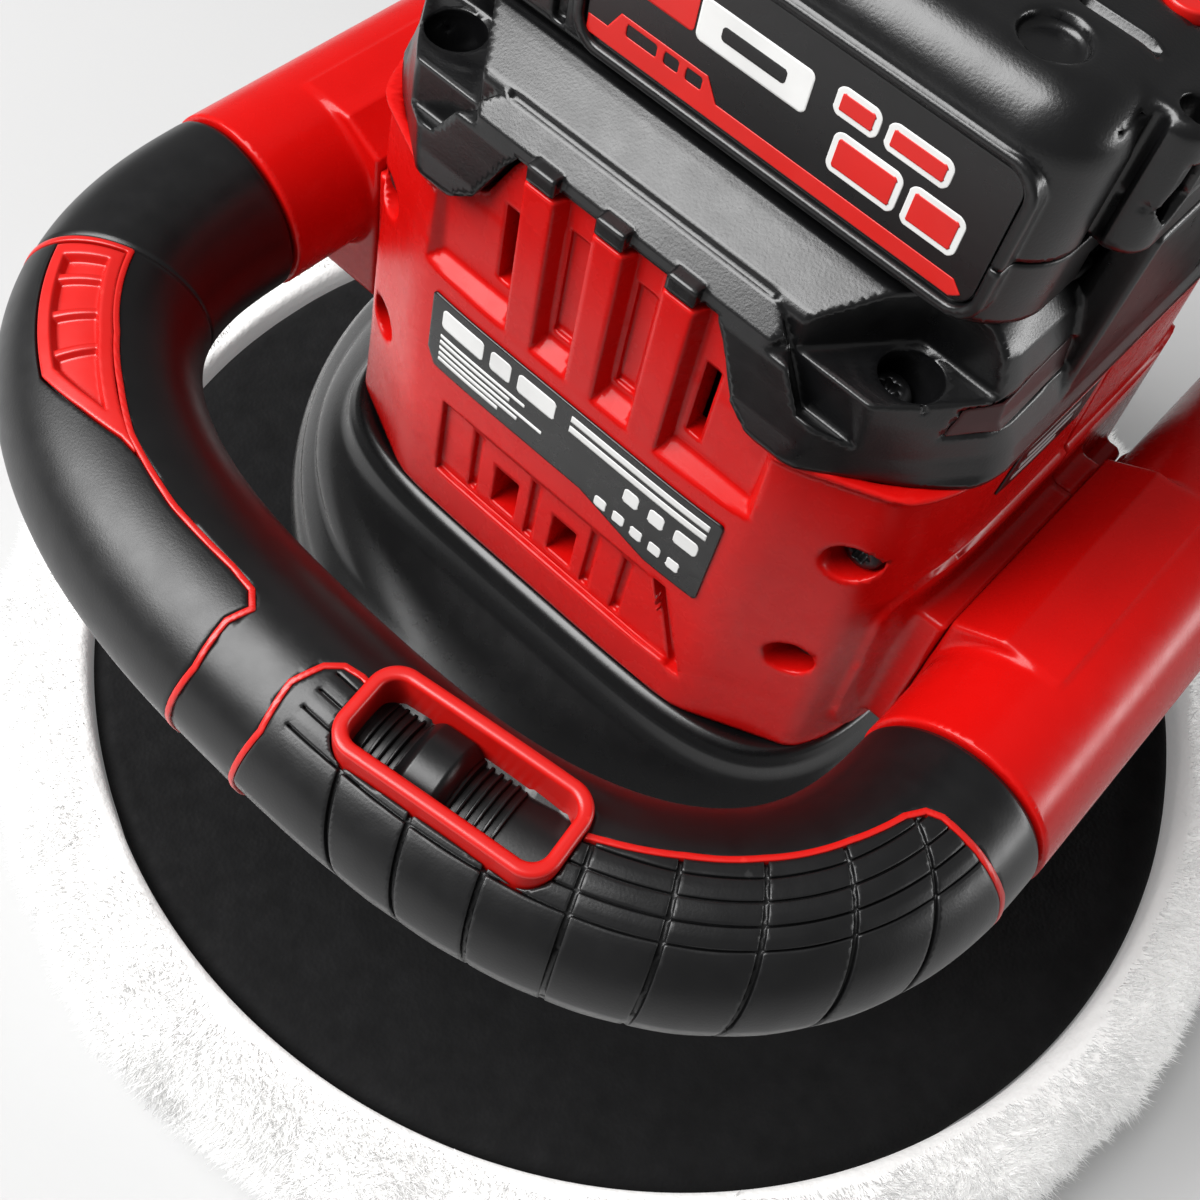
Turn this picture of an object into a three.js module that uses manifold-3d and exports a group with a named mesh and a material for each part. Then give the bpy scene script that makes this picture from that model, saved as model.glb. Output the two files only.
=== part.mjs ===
// Cordless dual action polisher with a closed ring handle, a slide battery and a wool bonnet.
// Units are millimetres. +Z is up, -Y is the side with the rating plate and the switch.
// The origin is on the bonnet's flat underside, on the axis of the drive spindle.
import * as THREE from 'three';
import { mergeVertices } from 'three/addons/utils/BufferGeometryUtils.js';
import Module from 'manifold-3d';

const wasm = await Module();
wasm.setup();

// ---- driving dimensions ----
const GAP = 0.3;                // clearance between pieces that touch
const ORBIT = 3;                // offset of the pad's axis from the spindle's axis
const PAD_RADIUS = 125.2;
const PAD_THICKNESS = 29.7;
const BONNET_RADIUS = 146;
const BONNET_FLOOR = 8;         // pile and backing under the foam
const SHROUD_BOTTOM = 50;
const SHROUD_TOP = 113.7;
const HOUSING_TOP = 183;
const COVER_TOP = 207;
const FRONT_TAB_TOP = 197;      // the housing's front rises into the cover here
const WALL = 3;
const TUBE_X = 77.3;            // the handle tubes' axes, on both sides
const TUBE_HEIGHT = 143;
const TUBE_RADIUS = 15.6;
const TUBE_BORE = 12.6;
const TUBE_HALF = 53.7;         // half the length of each straight tube
const GRIP_REACH = 55.3;        // how far each grip's arc runs past the tubes' ends
const GRIP_SQUARENESS = 2.6;
const GRIP_RADIUS = 15.3;
const GRIP_CORE_RADIUS = 13.2;  // under the soft grip surfaces
const GRIP_BORE = 10.5;
const ARM_HALF = 26;
const ARM_BOTTOM = 121;
const ARM_TOP = 137;
const ARM_JOIN = 60.5;          // where the housing's boss meets the handle's block
const SWITCH_LENGTH = 35;
const SWITCH_WIDTH = 15.4;
const SWITCH_CENTRE = [29, -106.7];
const SWITCH_TURN = THREE.MathUtils.degToRad(8.8);
const SWITCH_TRAVEL = 6.5;
const BATTERY_LEFT = -60;
const BATTERY_RIGHT = 48;
const BATTERY_HALF = 42;
const BATTERY_TOP = 240;
const BATTERY_SPLIT = 219;
const CELL_RADIUS = 9;
const CELL_PITCH = 19;
const GEAR_MODULE = 0.8;
const GEAR_TEETH = 48;
const PINION_TEETH = 12;
const MOTOR_Y = GEAR_MODULE * (GEAR_TEETH + PINION_TEETH) / 2;
const MOTOR_RADIUS = 22;
const MOTOR_BASE = 110.6;
const MOTOR_TOP = 168.6;

// ---- outlines ----
// A squared oval: squareness 2 is an ellipse, and higher values come nearer to a rectangle.
function ovalRing(halfX, halfY, squareness, z, count = 28) {
  const ring = [];
  for (let i = 0; i < count; i += 1) {
    const angle = 2 * Math.PI * (i + 0.5) / count;
    const c = Math.cos(angle);
    const s = Math.sin(angle);
    const size = (Math.abs(c / halfX) ** squareness + Math.abs(s / halfY) ** squareness) ** (-1 / squareness);
    ring.push(new THREE.Vector3(size * c, size * s, z));
  }
  return ring;
}

function roundedRing(x0, x1, y0, y1, radius, z, perCorner = 4) {
  const corners = [[x1 - radius, y1 - radius], [x0 + radius, y1 - radius],
    [x0 + radius, y0 + radius], [x1 - radius, y0 + radius]];
  const ring = [];
  corners.forEach(([x, y], corner) => {
    for (let i = 0; i <= perCorner; i += 1) {
      const angle = Math.PI / 2 * (corner + i / perCorner);
      ring.push(new THREE.Vector3(x + radius * Math.cos(angle), y + radius * Math.sin(angle), z));
    }
  });
  return ring;
}

// ---- solids ----
function signedVolume(geometry) {
  const p = geometry.attributes.position;
  const index = geometry.index;
  const [a, b, c] = [new THREE.Vector3(), new THREE.Vector3(), new THREE.Vector3()];
  let volume = 0;
  for (let i = 0; i < index.count; i += 3) {
    a.fromBufferAttribute(p, index.getX(i));
    b.fromBufferAttribute(p, index.getX(i + 1));
    c.fromBufferAttribute(p, index.getX(i + 2));
    volume += a.dot(b.cross(c)) / 6;
  }
  return volume;
}

// Keeps only positions, merges shared corners and turns the faces out.
function clean(source) {
  let geometry = source;
  geometry.deleteAttribute('normal');
  geometry.deleteAttribute('uv');
  geometry = mergeVertices(geometry, 1e-4);
  if (signedVolume(geometry) < 0) {
    const index = geometry.index.array;
    for (let i = 0; i < index.length; i += 3) {
      [index[i], index[i + 1]] = [index[i + 1], index[i]];
    }
  }
  return geometry;
}

function solid(geometry) {
  const tidy = clean(geometry);
  return new wasm.Manifold(new wasm.Mesh({
    numProp: 3,
    vertProperties: new Float32Array(tidy.attributes.position.array),
    triVerts: new Uint32Array(tidy.index.array),
  }));
}

function geometryOf(manifold) {
  const mesh = manifold.getMesh();
  const geometry = new THREE.BufferGeometry();
  geometry.setAttribute('position', new THREE.BufferAttribute(new Float32Array(mesh.vertProperties), 3));
  geometry.setIndex(new THREE.BufferAttribute(new Uint32Array(mesh.triVerts), 1));
  return geometry;
}

// Skins a stack of rings that all have the same number of points, and caps both ends.
function loft(rings) {
  const count = rings[0].length;
  const points = rings.flat();
  const faces = [];
  for (let level = 0; level < rings.length - 1; level += 1) {
    for (let i = 0; i < count; i += 1) {
      const a = level * count + i;
      const b = level * count + (i + 1) % count;
      faces.push(a, b, b + count, a, b + count, a + count);
    }
  }
  const last = (rings.length - 1) * count;
  for (let i = 1; i < count - 1; i += 1) {
    faces.push(0, i + 1, i, last, last + i, last + i + 1);
  }
  const geometry = new THREE.BufferGeometry();
  geometry.setAttribute('position', new THREE.Float32BufferAttribute(points.flatMap((p) => [p.x, p.y, p.z]), 3));
  geometry.setIndex(faces);
  return geometry;
}

function box(x0, x1, y0, y1, z0, z1) {
  const geometry = new THREE.BoxGeometry(x1 - x0, y1 - y0, z1 - z0);
  return geometry.translate((x0 + x1) / 2, (y0 + y1) / 2, (z0 + z1) / 2);
}

// Spins a closed or axis-to-axis profile of [radius, height] points about Z.
function turned(profile, segments = 32) {
  return new THREE.LatheGeometry(profile.map(([r, z]) => new THREE.Vector2(r, z)), segments)
    .rotateX(Math.PI / 2);
}

function rod(radius, z0, z1, segments = 12) {
  return turned([[0, z0], [radius, z0], [radius, z1], [0, z1]], segments);
}

function sleeve(inner, outer, z0, z1, segments = 24) {
  return turned([[inner, z0], [outer, z0], [outer, z1], [inner, z1], [inner, z0]], segments);
}

function alongY(geometry) {
  return geometry.rotateX(-Math.PI / 2);
}

function alongX(geometry) {
  return geometry.rotateY(Math.PI / 2);
}

function prism(points, z0, z1) {
  const shape = new THREE.Shape(points.map(([x, y]) => new THREE.Vector2(x, y)));
  return new THREE.ExtrudeGeometry(shape, { depth: z1 - z0, bevelEnabled: false }).translate(0, 0, z0);
}

// A screw along Z: the shank starts at 0 and the head sits on top of it.
function screw(headRadius, headHeight, shankRadius, length) {
  return turned([[0, 0], [shankRadius, 0], [shankRadius, length], [headRadius, length],
    [headRadius, length + headHeight], [0, length + headHeight]], 8);
}

function join(...geometries) {
  return geometries.map(solid).reduce((whole, piece) => whole.add(piece));
}

// ---- scene graph ----
const tool = new THREE.Group();
const RED = { color: 0xc4161c, roughness: 0.38, metalness: 0 };
const DARK_RED = { color: 0x4a1417, roughness: 0.5, metalness: 0 };
const BLACK = { color: 0x17181a, roughness: 0.6, metalness: 0 };
const GLOSS_BLACK = { color: 0x0e0f11, roughness: 0.25, metalness: 0 };
const RUBBER = { color: 0x1c1d1f, roughness: 0.75, metalness: 0 };
const STEEL = { color: 0x9a9da1, roughness: 0.35, metalness: 0.9 };
const ALUMINIUM = { color: 0xb9bcc0, roughness: 0.5, metalness: 0.8 };
const COPPER = { color: 0xb87333, roughness: 0.4, metalness: 0.9 };
const WOOL = { color: 0xf2f0eb, roughness: 1, metalness: 0 };
const FOAM = { color: 0x111213, roughness: 0.95, metalness: 0 };
const CELL_BLUE = { color: 0x2c6e9b, roughness: 0.5, metalness: 0.1 };
const GREEN = { color: 0x1f6b3a, roughness: 0.6, metalness: 0 };

function place(name, shape, look, parent = tool) {
  const geometry = shape.isBufferGeometry ? clean(shape) : geometryOf(shape);
  const mesh = new THREE.Mesh(geometry, new THREE.MeshStandardMaterial(look));
  mesh.name = name;
  parent.add(mesh);
  return mesh;
}

// ---- pad, bonnet and backing plate, on the orbiting axis ----
const pad = new THREE.Group();
pad.position.set(0, -ORBIT, 0);
tool.add(pad);

const FOAM_BOTTOM = BONNET_FLOOR + GAP;
const FOAM_TOP = FOAM_BOTTOM + PAD_THICKNESS;
const PLATE_BOTTOM = FOAM_TOP + GAP;
const PLATE_RIM = 80;

function bonnetProfile() {
  const cuffInner = PAD_RADIUS + GAP;
  const cuffTop = FOAM_TOP + 4;
  return [[0, 0], [128, 0], [137, 3], [143, 11], [BONNET_RADIUS, 22], [144, 33], [138, 40], [131, cuffTop],
    [cuffInner, cuffTop - 1], [cuffInner, BONNET_FLOOR], [0, BONNET_FLOOR]];
}

place('bonnet', turned(bonnetProfile(), 40), WOOL, pad);
place('foam_pad', turned([[0, FOAM_BOTTOM], [121, FOAM_BOTTOM], [PAD_RADIUS, FOAM_BOTTOM + 4],
  [PAD_RADIUS, FOAM_TOP - 1.5], [PAD_RADIUS - 1.5, FOAM_TOP], [0, FOAM_TOP]], 40), FOAM, pad);
place('backing_plate', turned([[9.5, PLATE_BOTTOM], [PLATE_RIM, PLATE_BOTTOM], [PLATE_RIM, PLATE_BOTTOM + 3],
  [30, PLATE_BOTTOM + 5], [18, PLATE_BOTTOM + 9], [5.3, PLATE_BOTTOM + 9], [5.3, PLATE_BOTTOM + 4],
  [9.5, PLATE_BOTTOM + 4], [9.5, PLATE_BOTTOM]], 28), BLACK, pad);
place('pad_bolt', turned([[0, PLATE_BOTTOM + GAP], [9, PLATE_BOTTOM + GAP], [9, PLATE_BOTTOM + 3.7],
  [5, PLATE_BOTTOM + 3.7], [5, 64], [0, 64]], 24), STEEL, pad);
place('pad_nut', solid(rod(8, 61, 64, 6)).subtract(solid(rod(5.3, 60, 65))), STEEL, pad);

// ---- spindle group: eccentric hub, counterweight, spindle and output gear ----
const HUB_BOTTOM = 49;
const HUB_TOP = 69.5;
const BEARING_POCKET_TOP = 61;
const NUT_POCKET_TOP = 64.5;
const SPINDLE_RADIUS = 6;

function atPad(geometry) {
  return geometry.translate(0, -ORBIT, 0);
}

place('pad_bearing', atPad(sleeve(5.3, 14, HUB_BOTTOM, BEARING_POCKET_TOP - GAP)), STEEL);
const hub = solid(rod(24, HUB_BOTTOM, HUB_TOP, 40))
  .subtract(solid(atPad(rod(14.3, HUB_BOTTOM - 1, BEARING_POCKET_TOP, 32))))
  .subtract(solid(atPad(rod(9.3, BEARING_POCKET_TOP - 1, NUT_POCKET_TOP))))
  .subtract(solid(rod(SPINDLE_RADIUS + GAP, NUT_POCKET_TOP - 1, HUB_TOP + 1)));
place('eccentric_hub', hub, ALUMINIUM);

function sectorOutline(inner, outer, from, to, steps = 16) {
  const points = [];
  for (let i = 0; i <= steps; i += 1) {
    const angle = from + (to - from) * i / steps;
    points.push([outer * Math.cos(angle), outer * Math.sin(angle)]);
  }
  for (let i = steps; i >= 0; i -= 1) {
    const angle = from + (to - from) * i / steps;
    points.push([inner * Math.cos(angle), inner * Math.sin(angle)]);
  }
  return points;
}

place('counterweight', prism(sectorOutline(24.3, 44, Math.PI * 0.12, Math.PI * 0.88), 56, 68), STEEL);
place('spindle', rod(SPINDLE_RADIUS, 65, 106), STEEL);

// A spur gear's outline, with straight flanks that thin towards each tooth's tip.
function gearOutline(teeth, phase) {
  const pitch = GEAR_MODULE * teeth / 2;
  const root = pitch - 1.2 * GEAR_MODULE;
  const tip = pitch + 0.9 * GEAR_MODULE;
  const step = 2 * Math.PI / teeth;
  const points = [];
  for (let tooth = 0; tooth < teeth; tooth += 1) {
    const middle = phase + tooth * step;
    [[root, -0.3], [tip, -0.12], [tip, 0.12], [root, 0.3]].forEach(([radius, share]) => {
      const angle = middle + share * step;
      points.push([radius * Math.cos(angle), radius * Math.sin(angle)]);
    });
  }
  return points;
}

const GEAR_BOTTOM = 92;
const GEAR_TOP = 99;
const bore = solid(rod(SPINDLE_RADIUS + GAP, GEAR_BOTTOM - 1, GEAR_TOP + 1));
place('output_gear', solid(prism(gearOutline(GEAR_TEETH, Math.PI / 2), GEAR_BOTTOM, GEAR_TOP)).subtract(bore), STEEL);

// ---- motor rotor: shaft, pinion, armature and fan ----
const rotor = new THREE.Group();
rotor.position.set(0, MOTOR_Y, 0);
tool.add(rotor);
const SHAFT_RADIUS = 2.5;
const shaftHole = solid(rod(SHAFT_RADIUS + GAP, 0, 200));
place('motor_shaft', rod(SHAFT_RADIUS, 90, 178), STEEL, rotor);
const pinionPhase = -Math.PI / 2 + Math.PI / PINION_TEETH;
place('pinion', solid(prism(gearOutline(PINION_TEETH, pinionPhase), GEAR_BOTTOM - 0.5, GEAR_TOP + 0.5))
  .subtract(shaftHole), STEEL, rotor);
place('armature', join(rod(15, 120, 148, 24), rod(11, 148, 153, 16), rod(8, 153, 162, 16))
  .subtract(shaftHole), COPPER, rotor);

function fanBlades() {
  let fan = join(rod(6, 170.5, 177.5, 16), rod(19.5, 170.5, 172, 32));
  for (let blade = 0; blade < 9; blade += 1) {
    fan = fan.add(solid(box(5, 19, -0.8, 0.8, 171.5, 177.5).rotateZ(blade * 2 * Math.PI / 9)));
  }
  return fan.subtract(shaftHole);
}
place('cooling_fan', fanBlades(), BLACK, rotor);

// ---- motor stator ----
const stator = new THREE.Group();
stator.position.copy(rotor.position);
tool.add(stator);
place('motor_can', turned([[7, MOTOR_BASE], [MOTOR_RADIUS, MOTOR_BASE], [MOTOR_RADIUS, MOTOR_TOP], [4, MOTOR_TOP],
  [4, MOTOR_TOP - 2.4], [20, MOTOR_TOP - 2.4], [20, MOTOR_BASE + 2.4], [7, MOTOR_BASE + 2.4], [7, MOTOR_BASE]]),
STEEL, stator);
place('ring_magnet', sleeve(15.8, 19.7, 118, 150, 28), { color: 0x3a3b3d, roughness: 0.7, metalness: 0.3 }, stator);
place('brush_holder', join(sleeve(14, 19.7, 153, 156, 28), box(-2.5, 2.5, 8.4, 17, 154, 160),
  box(-2.5, 2.5, -17, -8.4, 154, 160)), BLACK, stator);

// ---- gearbox and its bearings ----
const CASE_BOTTOM = 73.6;
const CASE_TOP = 104;
function caseOutline(grow, z0, z1) {
  return loft([z0, z1].map((z) => roundedRing(-28 - grow, 28 + grow, -28 - grow, 36 + grow, 8 + grow, z)));
}
const gearCase = solid(caseOutline(0, CASE_BOTTOM, CASE_TOP))
  .subtract(solid(caseOutline(-WALL, 90, CASE_TOP + 1)))
  .subtract(solid(rod(16.3, 77.7, 91, 32)))
  .subtract(solid(rod(11, CASE_BOTTOM - 1, 78, 24)));
place('gearbox_case', gearCase, ALUMINIUM);
const gearCover = solid(caseOutline(0, CASE_TOP + GAP, MOTOR_BASE - GAP))
  .subtract(solid(rod(11.3, CASE_TOP, 106.6, 28)))
  .subtract(solid(rod(6.6, CASE_TOP, MOTOR_BASE).translate(0, MOTOR_Y, 0)));
place('gearbox_cover', gearCover, ALUMINIUM);
place('shaft_seal', sleeve(SPINDLE_RADIUS + GAP, 10.7, 74, 77.4, 24), RUBBER);
place('lower_bearing', sleeve(SPINDLE_RADIUS + GAP, 16, 78, 88), STEEL);
place('upper_bearing', sleeve(SPINDLE_RADIUS + GAP, 11, 100.3, 106.3, 28), STEEL);

// ---- lower shroud and its base plate ----
const SHROUD_LEVELS = [[SHROUD_BOTTOM, 83, 83, 2], [86, 84, 84, 2], [92, 81.5, 81.5, 2.05], [98, 74, 74.5, 2.4],
  [108, 60.5, 61.8, 4.2], [111, 58.6, 60, 4.8], [SHROUD_TOP, 57.2, 57.6, 5]];

function shroudSolid(grow, overrun) {
  return solid(loft(SHROUD_LEVELS.map(([z, halfX, halfY, squareness], i) => {
    const past = i === 0 ? -overrun : (i === SHROUD_LEVELS.length - 1 ? overrun : 0);
    return ovalRing(halfX + grow, halfY + grow, squareness, z + past);
  })));
}

const LUG_RADIUS = 66;
const LUG_ANGLES = [1, 5, 9].map((sixth) => sixth * Math.PI / 6);
const PLATE_TOP = 73.3;
function atLugs(make) {
  return LUG_ANGLES.map((angle) => make()
    .translate(LUG_RADIUS * Math.cos(angle), LUG_RADIUS * Math.sin(angle), 0));
}
let shroud = shroudSolid(0, 0).subtract(shroudSolid(-WALL, 1));
atLugs(() => rod(15.2, PLATE_TOP + GAP, 89, 12)).forEach((lug) => {
  shroud = shroud.add(solid(lug).intersect(shroudSolid(-1, 0)));
});
atLugs(() => rod(2.7, 72, 86, 8)).forEach((hole) => {
  shroud = shroud.subtract(solid(hole));
});
place('lower_shroud', shroud, GLOSS_BLACK);
let basePlate = solid(sleeve(8, 79.6, PLATE_TOP - 3, PLATE_TOP, 44));
atLugs(() => rod(2.7, 69, 75, 8)).forEach((hole) => {
  basePlate = basePlate.subtract(solid(hole));
});
place('base_plate', basePlate, ALUMINIUM);
atLugs(() => screw(4.5, 3, 2.2, 15).rotateX(Math.PI).translate(0, 0, 85)).forEach((geometry, i) => {
  place(`base_screw_${i + 1}`, geometry, STEEL);
});

// ---- red housing, in a front and a rear half ----
const HOUSING_BOTTOM = SHROUD_TOP + GAP;
const HOUSING_LEVELS = [[HOUSING_BOTTOM, 57, 57], [126, 56.4, 56.4], [150, 55.4, 55.8],
  [170, 54.6, 55], [HOUSING_TOP, 54, 54.4]];
const HOUSING_SQUARENESS = 5;

function housingSolid(grow, overrun) {
  return solid(loft(HOUSING_LEVELS.map(([z, halfX, halfY], i) => {
    const past = i === 0 ? -overrun : (i === HOUSING_LEVELS.length - 1 ? overrun : 0);
    return ovalRing(halfX + grow, halfY + grow, HOUSING_SQUARENESS, z + past);
  })));
}

// The raised middle of the front, which the top cover steps around.
function frontTab(grow, back) {
  const half = [[17, FRONT_TAB_TOP + grow], [19, 194], [23, 186.4], [29.5, 182]].map(([x, z]) => [x + grow, z]);
  const outline = [...half, ...half.map(([x, z]) => [-x, z]).reverse()];
  return prism(outline, 0, back).rotateX(Math.PI / 2).translate(0, -50.6 + grow, 0);
}

const CASE_SCREWS = [[-44.8, 139], [44.8, 139], [-46, 166], [46, 166]];
const COVER_SCREWS = [[-38, -42], [38, -42], [-38, 42], [38, 42]];
const HEAD_DEPTH = -46.7;

function cutAll(body, cutters) {
  return cutters.reduce((left, cutter) => left.subtract(solid(cutter)), body);
}

const caseBosses = CASE_SCREWS.map(([x, z]) => alongY(rod(5.6, -54, 14)).translate(x, 0, z));
const coverBosses = COVER_SCREWS.map(([x, y]) => rod(5, 150, HOUSING_TOP).translate(x, y, 0));
const caseWebs = CASE_SCREWS.map(([x, z]) => box(Math.min(x, Math.sign(x) * 56), Math.max(x, Math.sign(x) * 56),
  -54, 14, z - 1.5, z + 1.5));
const coverWebs = COVER_SCREWS.map(([x, y]) => box(x - 1.5, x + 1.5,
  Math.min(y, Math.sign(y) * 56), Math.max(y, Math.sign(y) * 56), 150, HOUSING_TOP));
const armBosses = box(-ARM_JOIN, ARM_JOIN, -ARM_HALF, ARM_HALF, ARM_BOTTOM, ARM_TOP);
// The handle's tongue, with a wider end that the two housing halves trap between them.
function tongue(grow) {
  const [low, high] = [ARM_BOTTOM + 3 - grow, ARM_TOP - 3 + grow];
  return [box(51 - grow, ARM_JOIN + 2, -18 - grow, 18 + grow, low, high),
    box(51 - grow, 55.5 + grow, -22 - grow, 22 + grow, low, high)];
}

const hollow = housingSolid(-WALL, 1);
let shell = housingSolid(0, 0).subtract(hollow);
const bossStock = [...caseBosses, ...coverBosses, ...caseWebs, ...coverWebs].map(solid).reduce((all, boss) => all.add(boss));
shell = shell.add(bossStock.intersect(housingSolid(-0.5, 0)));
shell = shell.add(solid(armBosses).subtract(solid(box(-48, 48, -80, 80, 100, 150))));
shell = shell.add(solid(frontTab(0, 3.6)));
const RIB_X = [-12.2, 0, 12.2];
RIB_X.forEach((x) => {
  shell = shell.add(solid(box(x - 2.65, x + 2.65, -56.6, -52.5, 168, 196.5)));
});
shell = cutAll(shell, CASE_SCREWS.map(([x, z]) => alongY(rod(4.2, -20, 0)).translate(x, HEAD_DEPTH, z)));
shell = cutAll(shell, CASE_SCREWS.map(([x, z]) => alongY(rod(2.3, -50, 12, 8)).translate(x, 0, z)));
shell = cutAll(shell, COVER_SCREWS.map(([x, y]) => rod(2.3, 170, 184, 8).translate(x, y, 0)));
shell = cutAll(shell, [...tongue(GAP), ...tongue(GAP).map((piece) => piece.rotateZ(Math.PI))]);
shell = cutAll(shell, [-17.5, 18.5].map((x) => box(x - 1.3, x + 1.3, -60, -48, 175, 188)));
shell = cutAll(shell, [-10, 3].map((x) => box(x - 2.6, x + 2.6, -62, -50, 125, 134.5)));
const halfSpace = (front) => solid(box(-90, 90, front ? -90 : GAP / 2, front ? -GAP / 2 : 90, 100, 210));
place('housing_front', shell.intersect(halfSpace(true)), RED);
place('housing_rear', shell.intersect(halfSpace(false)), RED);

// Thin plates that lie on a curved skin: the part of a shell inside a box.
function skinPatch(skin, thickness, ...limits) {
  const around = solid(box(...limits));
  return skin(GAP + thickness, 0).subtract(skin(GAP, 1)).intersect(around);
}
place('rating_plate', skinPatch(housingSolid, 0.7, -29, 29, -60, -50, 146, 164), GLOSS_BLACK);

// ---- fasteners of the housing and the cover ----
CASE_SCREWS.forEach(([x, z], i) => {
  const geometry = alongY(screw(3.6, 2.5, 1.9, 56).rotateX(Math.PI)).translate(x, 9, z);
  place(`case_screw_${i + 1}`, geometry, STEEL);
});
COVER_SCREWS.forEach(([x, y], i) => {
  place(`cover_screw_${i + 1}`, screw(3.6, 2.5, 1.9, 18).translate(x, y, 172), STEEL);
});

// ---- controller ----
place('controller', join(box(-30, 30, -42, -40.4, 126, 160), alongY(rod(6.5, -41, -26, 16)).translate(-16, 0, 150),
  alongY(rod(6.5, -41, -26, 16)).translate(0, 0, 150), box(-24, 8, -41, -33, 129, 139),
  box(14, 27, -41, -28, 130, 156)), GREEN);

// ---- top cover with the battery rail and end stop ----
const COVER_BOTTOM = HOUSING_TOP + GAP;
const COVER_LEVELS = [[COVER_BOTTOM, 54.6, 55], [187, 55.2, 55.4], [199, 53.6, 53.4],
  [203.4, 51.5, 49.8], [COVER_TOP, 46.5, 42.6]];
function coverSolid(grow, overrun) {
  return solid(loft(COVER_LEVELS.map(([z, halfX, halfY], i) => {
    const past = i === 0 ? -overrun : (i === COVER_LEVELS.length - 1 ? Math.min(grow, 0) : 0);
    return ovalRing(halfX + grow, halfY + grow, HOUSING_SQUARENESS, z + past);
  })));
}
const RAIL_LEFT = -50;
const RAIL_RIGHT = 18;
const STOP_TOP = 218;
const STOP_HALF = 21;
const rail = join(box(RAIL_LEFT, RAIL_RIGHT, -20, 20, 205, 213), box(RAIL_LEFT, RAIL_RIGHT, -24, 24, 210, 213));
const endStop = box(BATTERY_RIGHT + 0.4, 54, -STOP_HALF, STOP_HALF, 197, STOP_TOP);
let cover = coverSolid(0, 0).subtract(coverSolid(-WALL, 1)).add(rail).add(solid(endStop));
cover = cutAll(cover, [frontTab(GAP, 8)]);
COVER_SCREWS.forEach(([x, y]) => {
  const post = solid(rod(6.4, COVER_BOTTOM, 200).translate(x, y, 0));
  cover = cover.add(post.intersect(coverSolid(-0.5, 0)));
});
cover = cutAll(cover, COVER_SCREWS.map(([x, y]) => rod(4.2, 189.7, 215).translate(x, y, 0)));
cover = cutAll(cover, COVER_SCREWS.map(([x, y]) => rod(2.3, 180, 191, 8).translate(x, y, 0)));
cover = cutAll(cover, [box(20, 46.2, -16, 16, 200, 209)]);
place('top_cover', cover, BLACK);
place('terminal_block', join(box(30, 45.9, -14, 14, 203.7, 218), box(20.3, 45.9, -15.7, 15.7, 203.7, 206.7),
  ...[-9, 0, 9].map((y) => box(20, 31, y - 0.5, y + 0.5, 214.6, 217.4))), BLACK);

// ---- handle: two straight red tubes with their arms ----
function handleFrame(side) {
  const tube = alongY(rod(TUBE_RADIUS, -TUBE_HALF + GAP, TUBE_HALF - GAP, 32)).translate(TUBE_X, 0, TUBE_HEIGHT);
  const hole = alongY(rod(TUBE_BORE, -80, 80, 28)).translate(TUBE_X, 0, TUBE_HEIGHT);
  const arm = box(ARM_JOIN + GAP, TUBE_X, -ARM_HALF, ARM_HALF, ARM_BOTTOM, ARM_TOP);
  const frame = join(tube, arm, ...tongue(0)).subtract(solid(hole));
  const mesh = place(side > 0 ? 'handle_frame_right' : 'handle_frame_left', frame, RED);
  mesh.rotation.z = side > 0 ? 0 : Math.PI;
}
handleFrame(1);
handleFrame(-1);

// ---- curved grips ----
// The grip's centre line runs from the right tube's end, round the front, to the left tube's end.
class GripLine extends THREE.Curve {
  constructor() {
    super();
    this.arcLengthDivisions = 600;
  }

  getPoint(t, target = new THREE.Vector3()) {
    const angle = Math.PI * t;
    const power = 2 / GRIP_SQUARENESS;
    const c = Math.cos(angle);
    const x = TUBE_X * Math.sign(c) * Math.abs(c) ** power;
    const y = -(TUBE_HALF + GRIP_REACH * Math.sin(angle) ** power);
    return target.set(x, y, TUBE_HEIGHT);
  }
}
const gripLine = new GripLine();
const GRIP_LENGTH = gripLine.getLength();

class Stretch extends THREE.Curve {
  constructor(from, to) {
    super();
    this.from = from;
    this.to = to;
  }

  getPoint(t, target = new THREE.Vector3()) {
    const along = this.from + (this.to - this.from) * t;
    return gripLine.getPointAt(THREE.MathUtils.clamp(along / GRIP_LENGTH, 0, 1), target);
  }
}

// A ring sector between two radii. 0 degrees points out of the handle and 90 degrees points up.
function sectorShape(inner, outer, fromDegrees, toDegrees) {
  const from = THREE.MathUtils.degToRad(fromDegrees + 90);
  const to = THREE.MathUtils.degToRad(toDegrees + 90);
  const shape = new THREE.Shape();
  shape.absarc(0, 0, outer, from, to, false);
  shape.absarc(0, 0, inner, to, from, true);
  shape.closePath();
  return shape;
}

function swept(shape, from, to, curveSegments = 4) {
  const steps = Math.max(2, Math.round((to - from) / 16));
  return new THREE.ExtrudeGeometry(shape, {
    steps, bevelEnabled: false, extrudePath: new Stretch(from, to), curveSegments,
  });
}

const SOFT_FROM = -90;          // the soft surfaces wrap from below the grip ...
const SOFT_TO = 95;             // ... to just past its top
const TREAD = [10.5, 104.5];
const PALM = [118.5, 189];
const INSERT = [163, 188.5];
const INSERT_ANGLES = [62, 94];
const COLLAR = 9.5;             // full-round black ends next to the tubes

function coreShape() {
  const low = THREE.MathUtils.degToRad(SOFT_FROM + 90);
  const high = THREE.MathUtils.degToRad(SOFT_TO + 90);
  const shape = new THREE.Shape();
  shape.absarc(0, 0, GRIP_CORE_RADIUS, low, high, false);
  shape.absarc(0, 0, GRIP_RADIUS, high, low + 2 * Math.PI, false);
  shape.closePath();
  shape.holes.push(new THREE.Path().absarc(0, 0, GRIP_BORE, 0, 2 * Math.PI, true));
  return shape;
}

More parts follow.
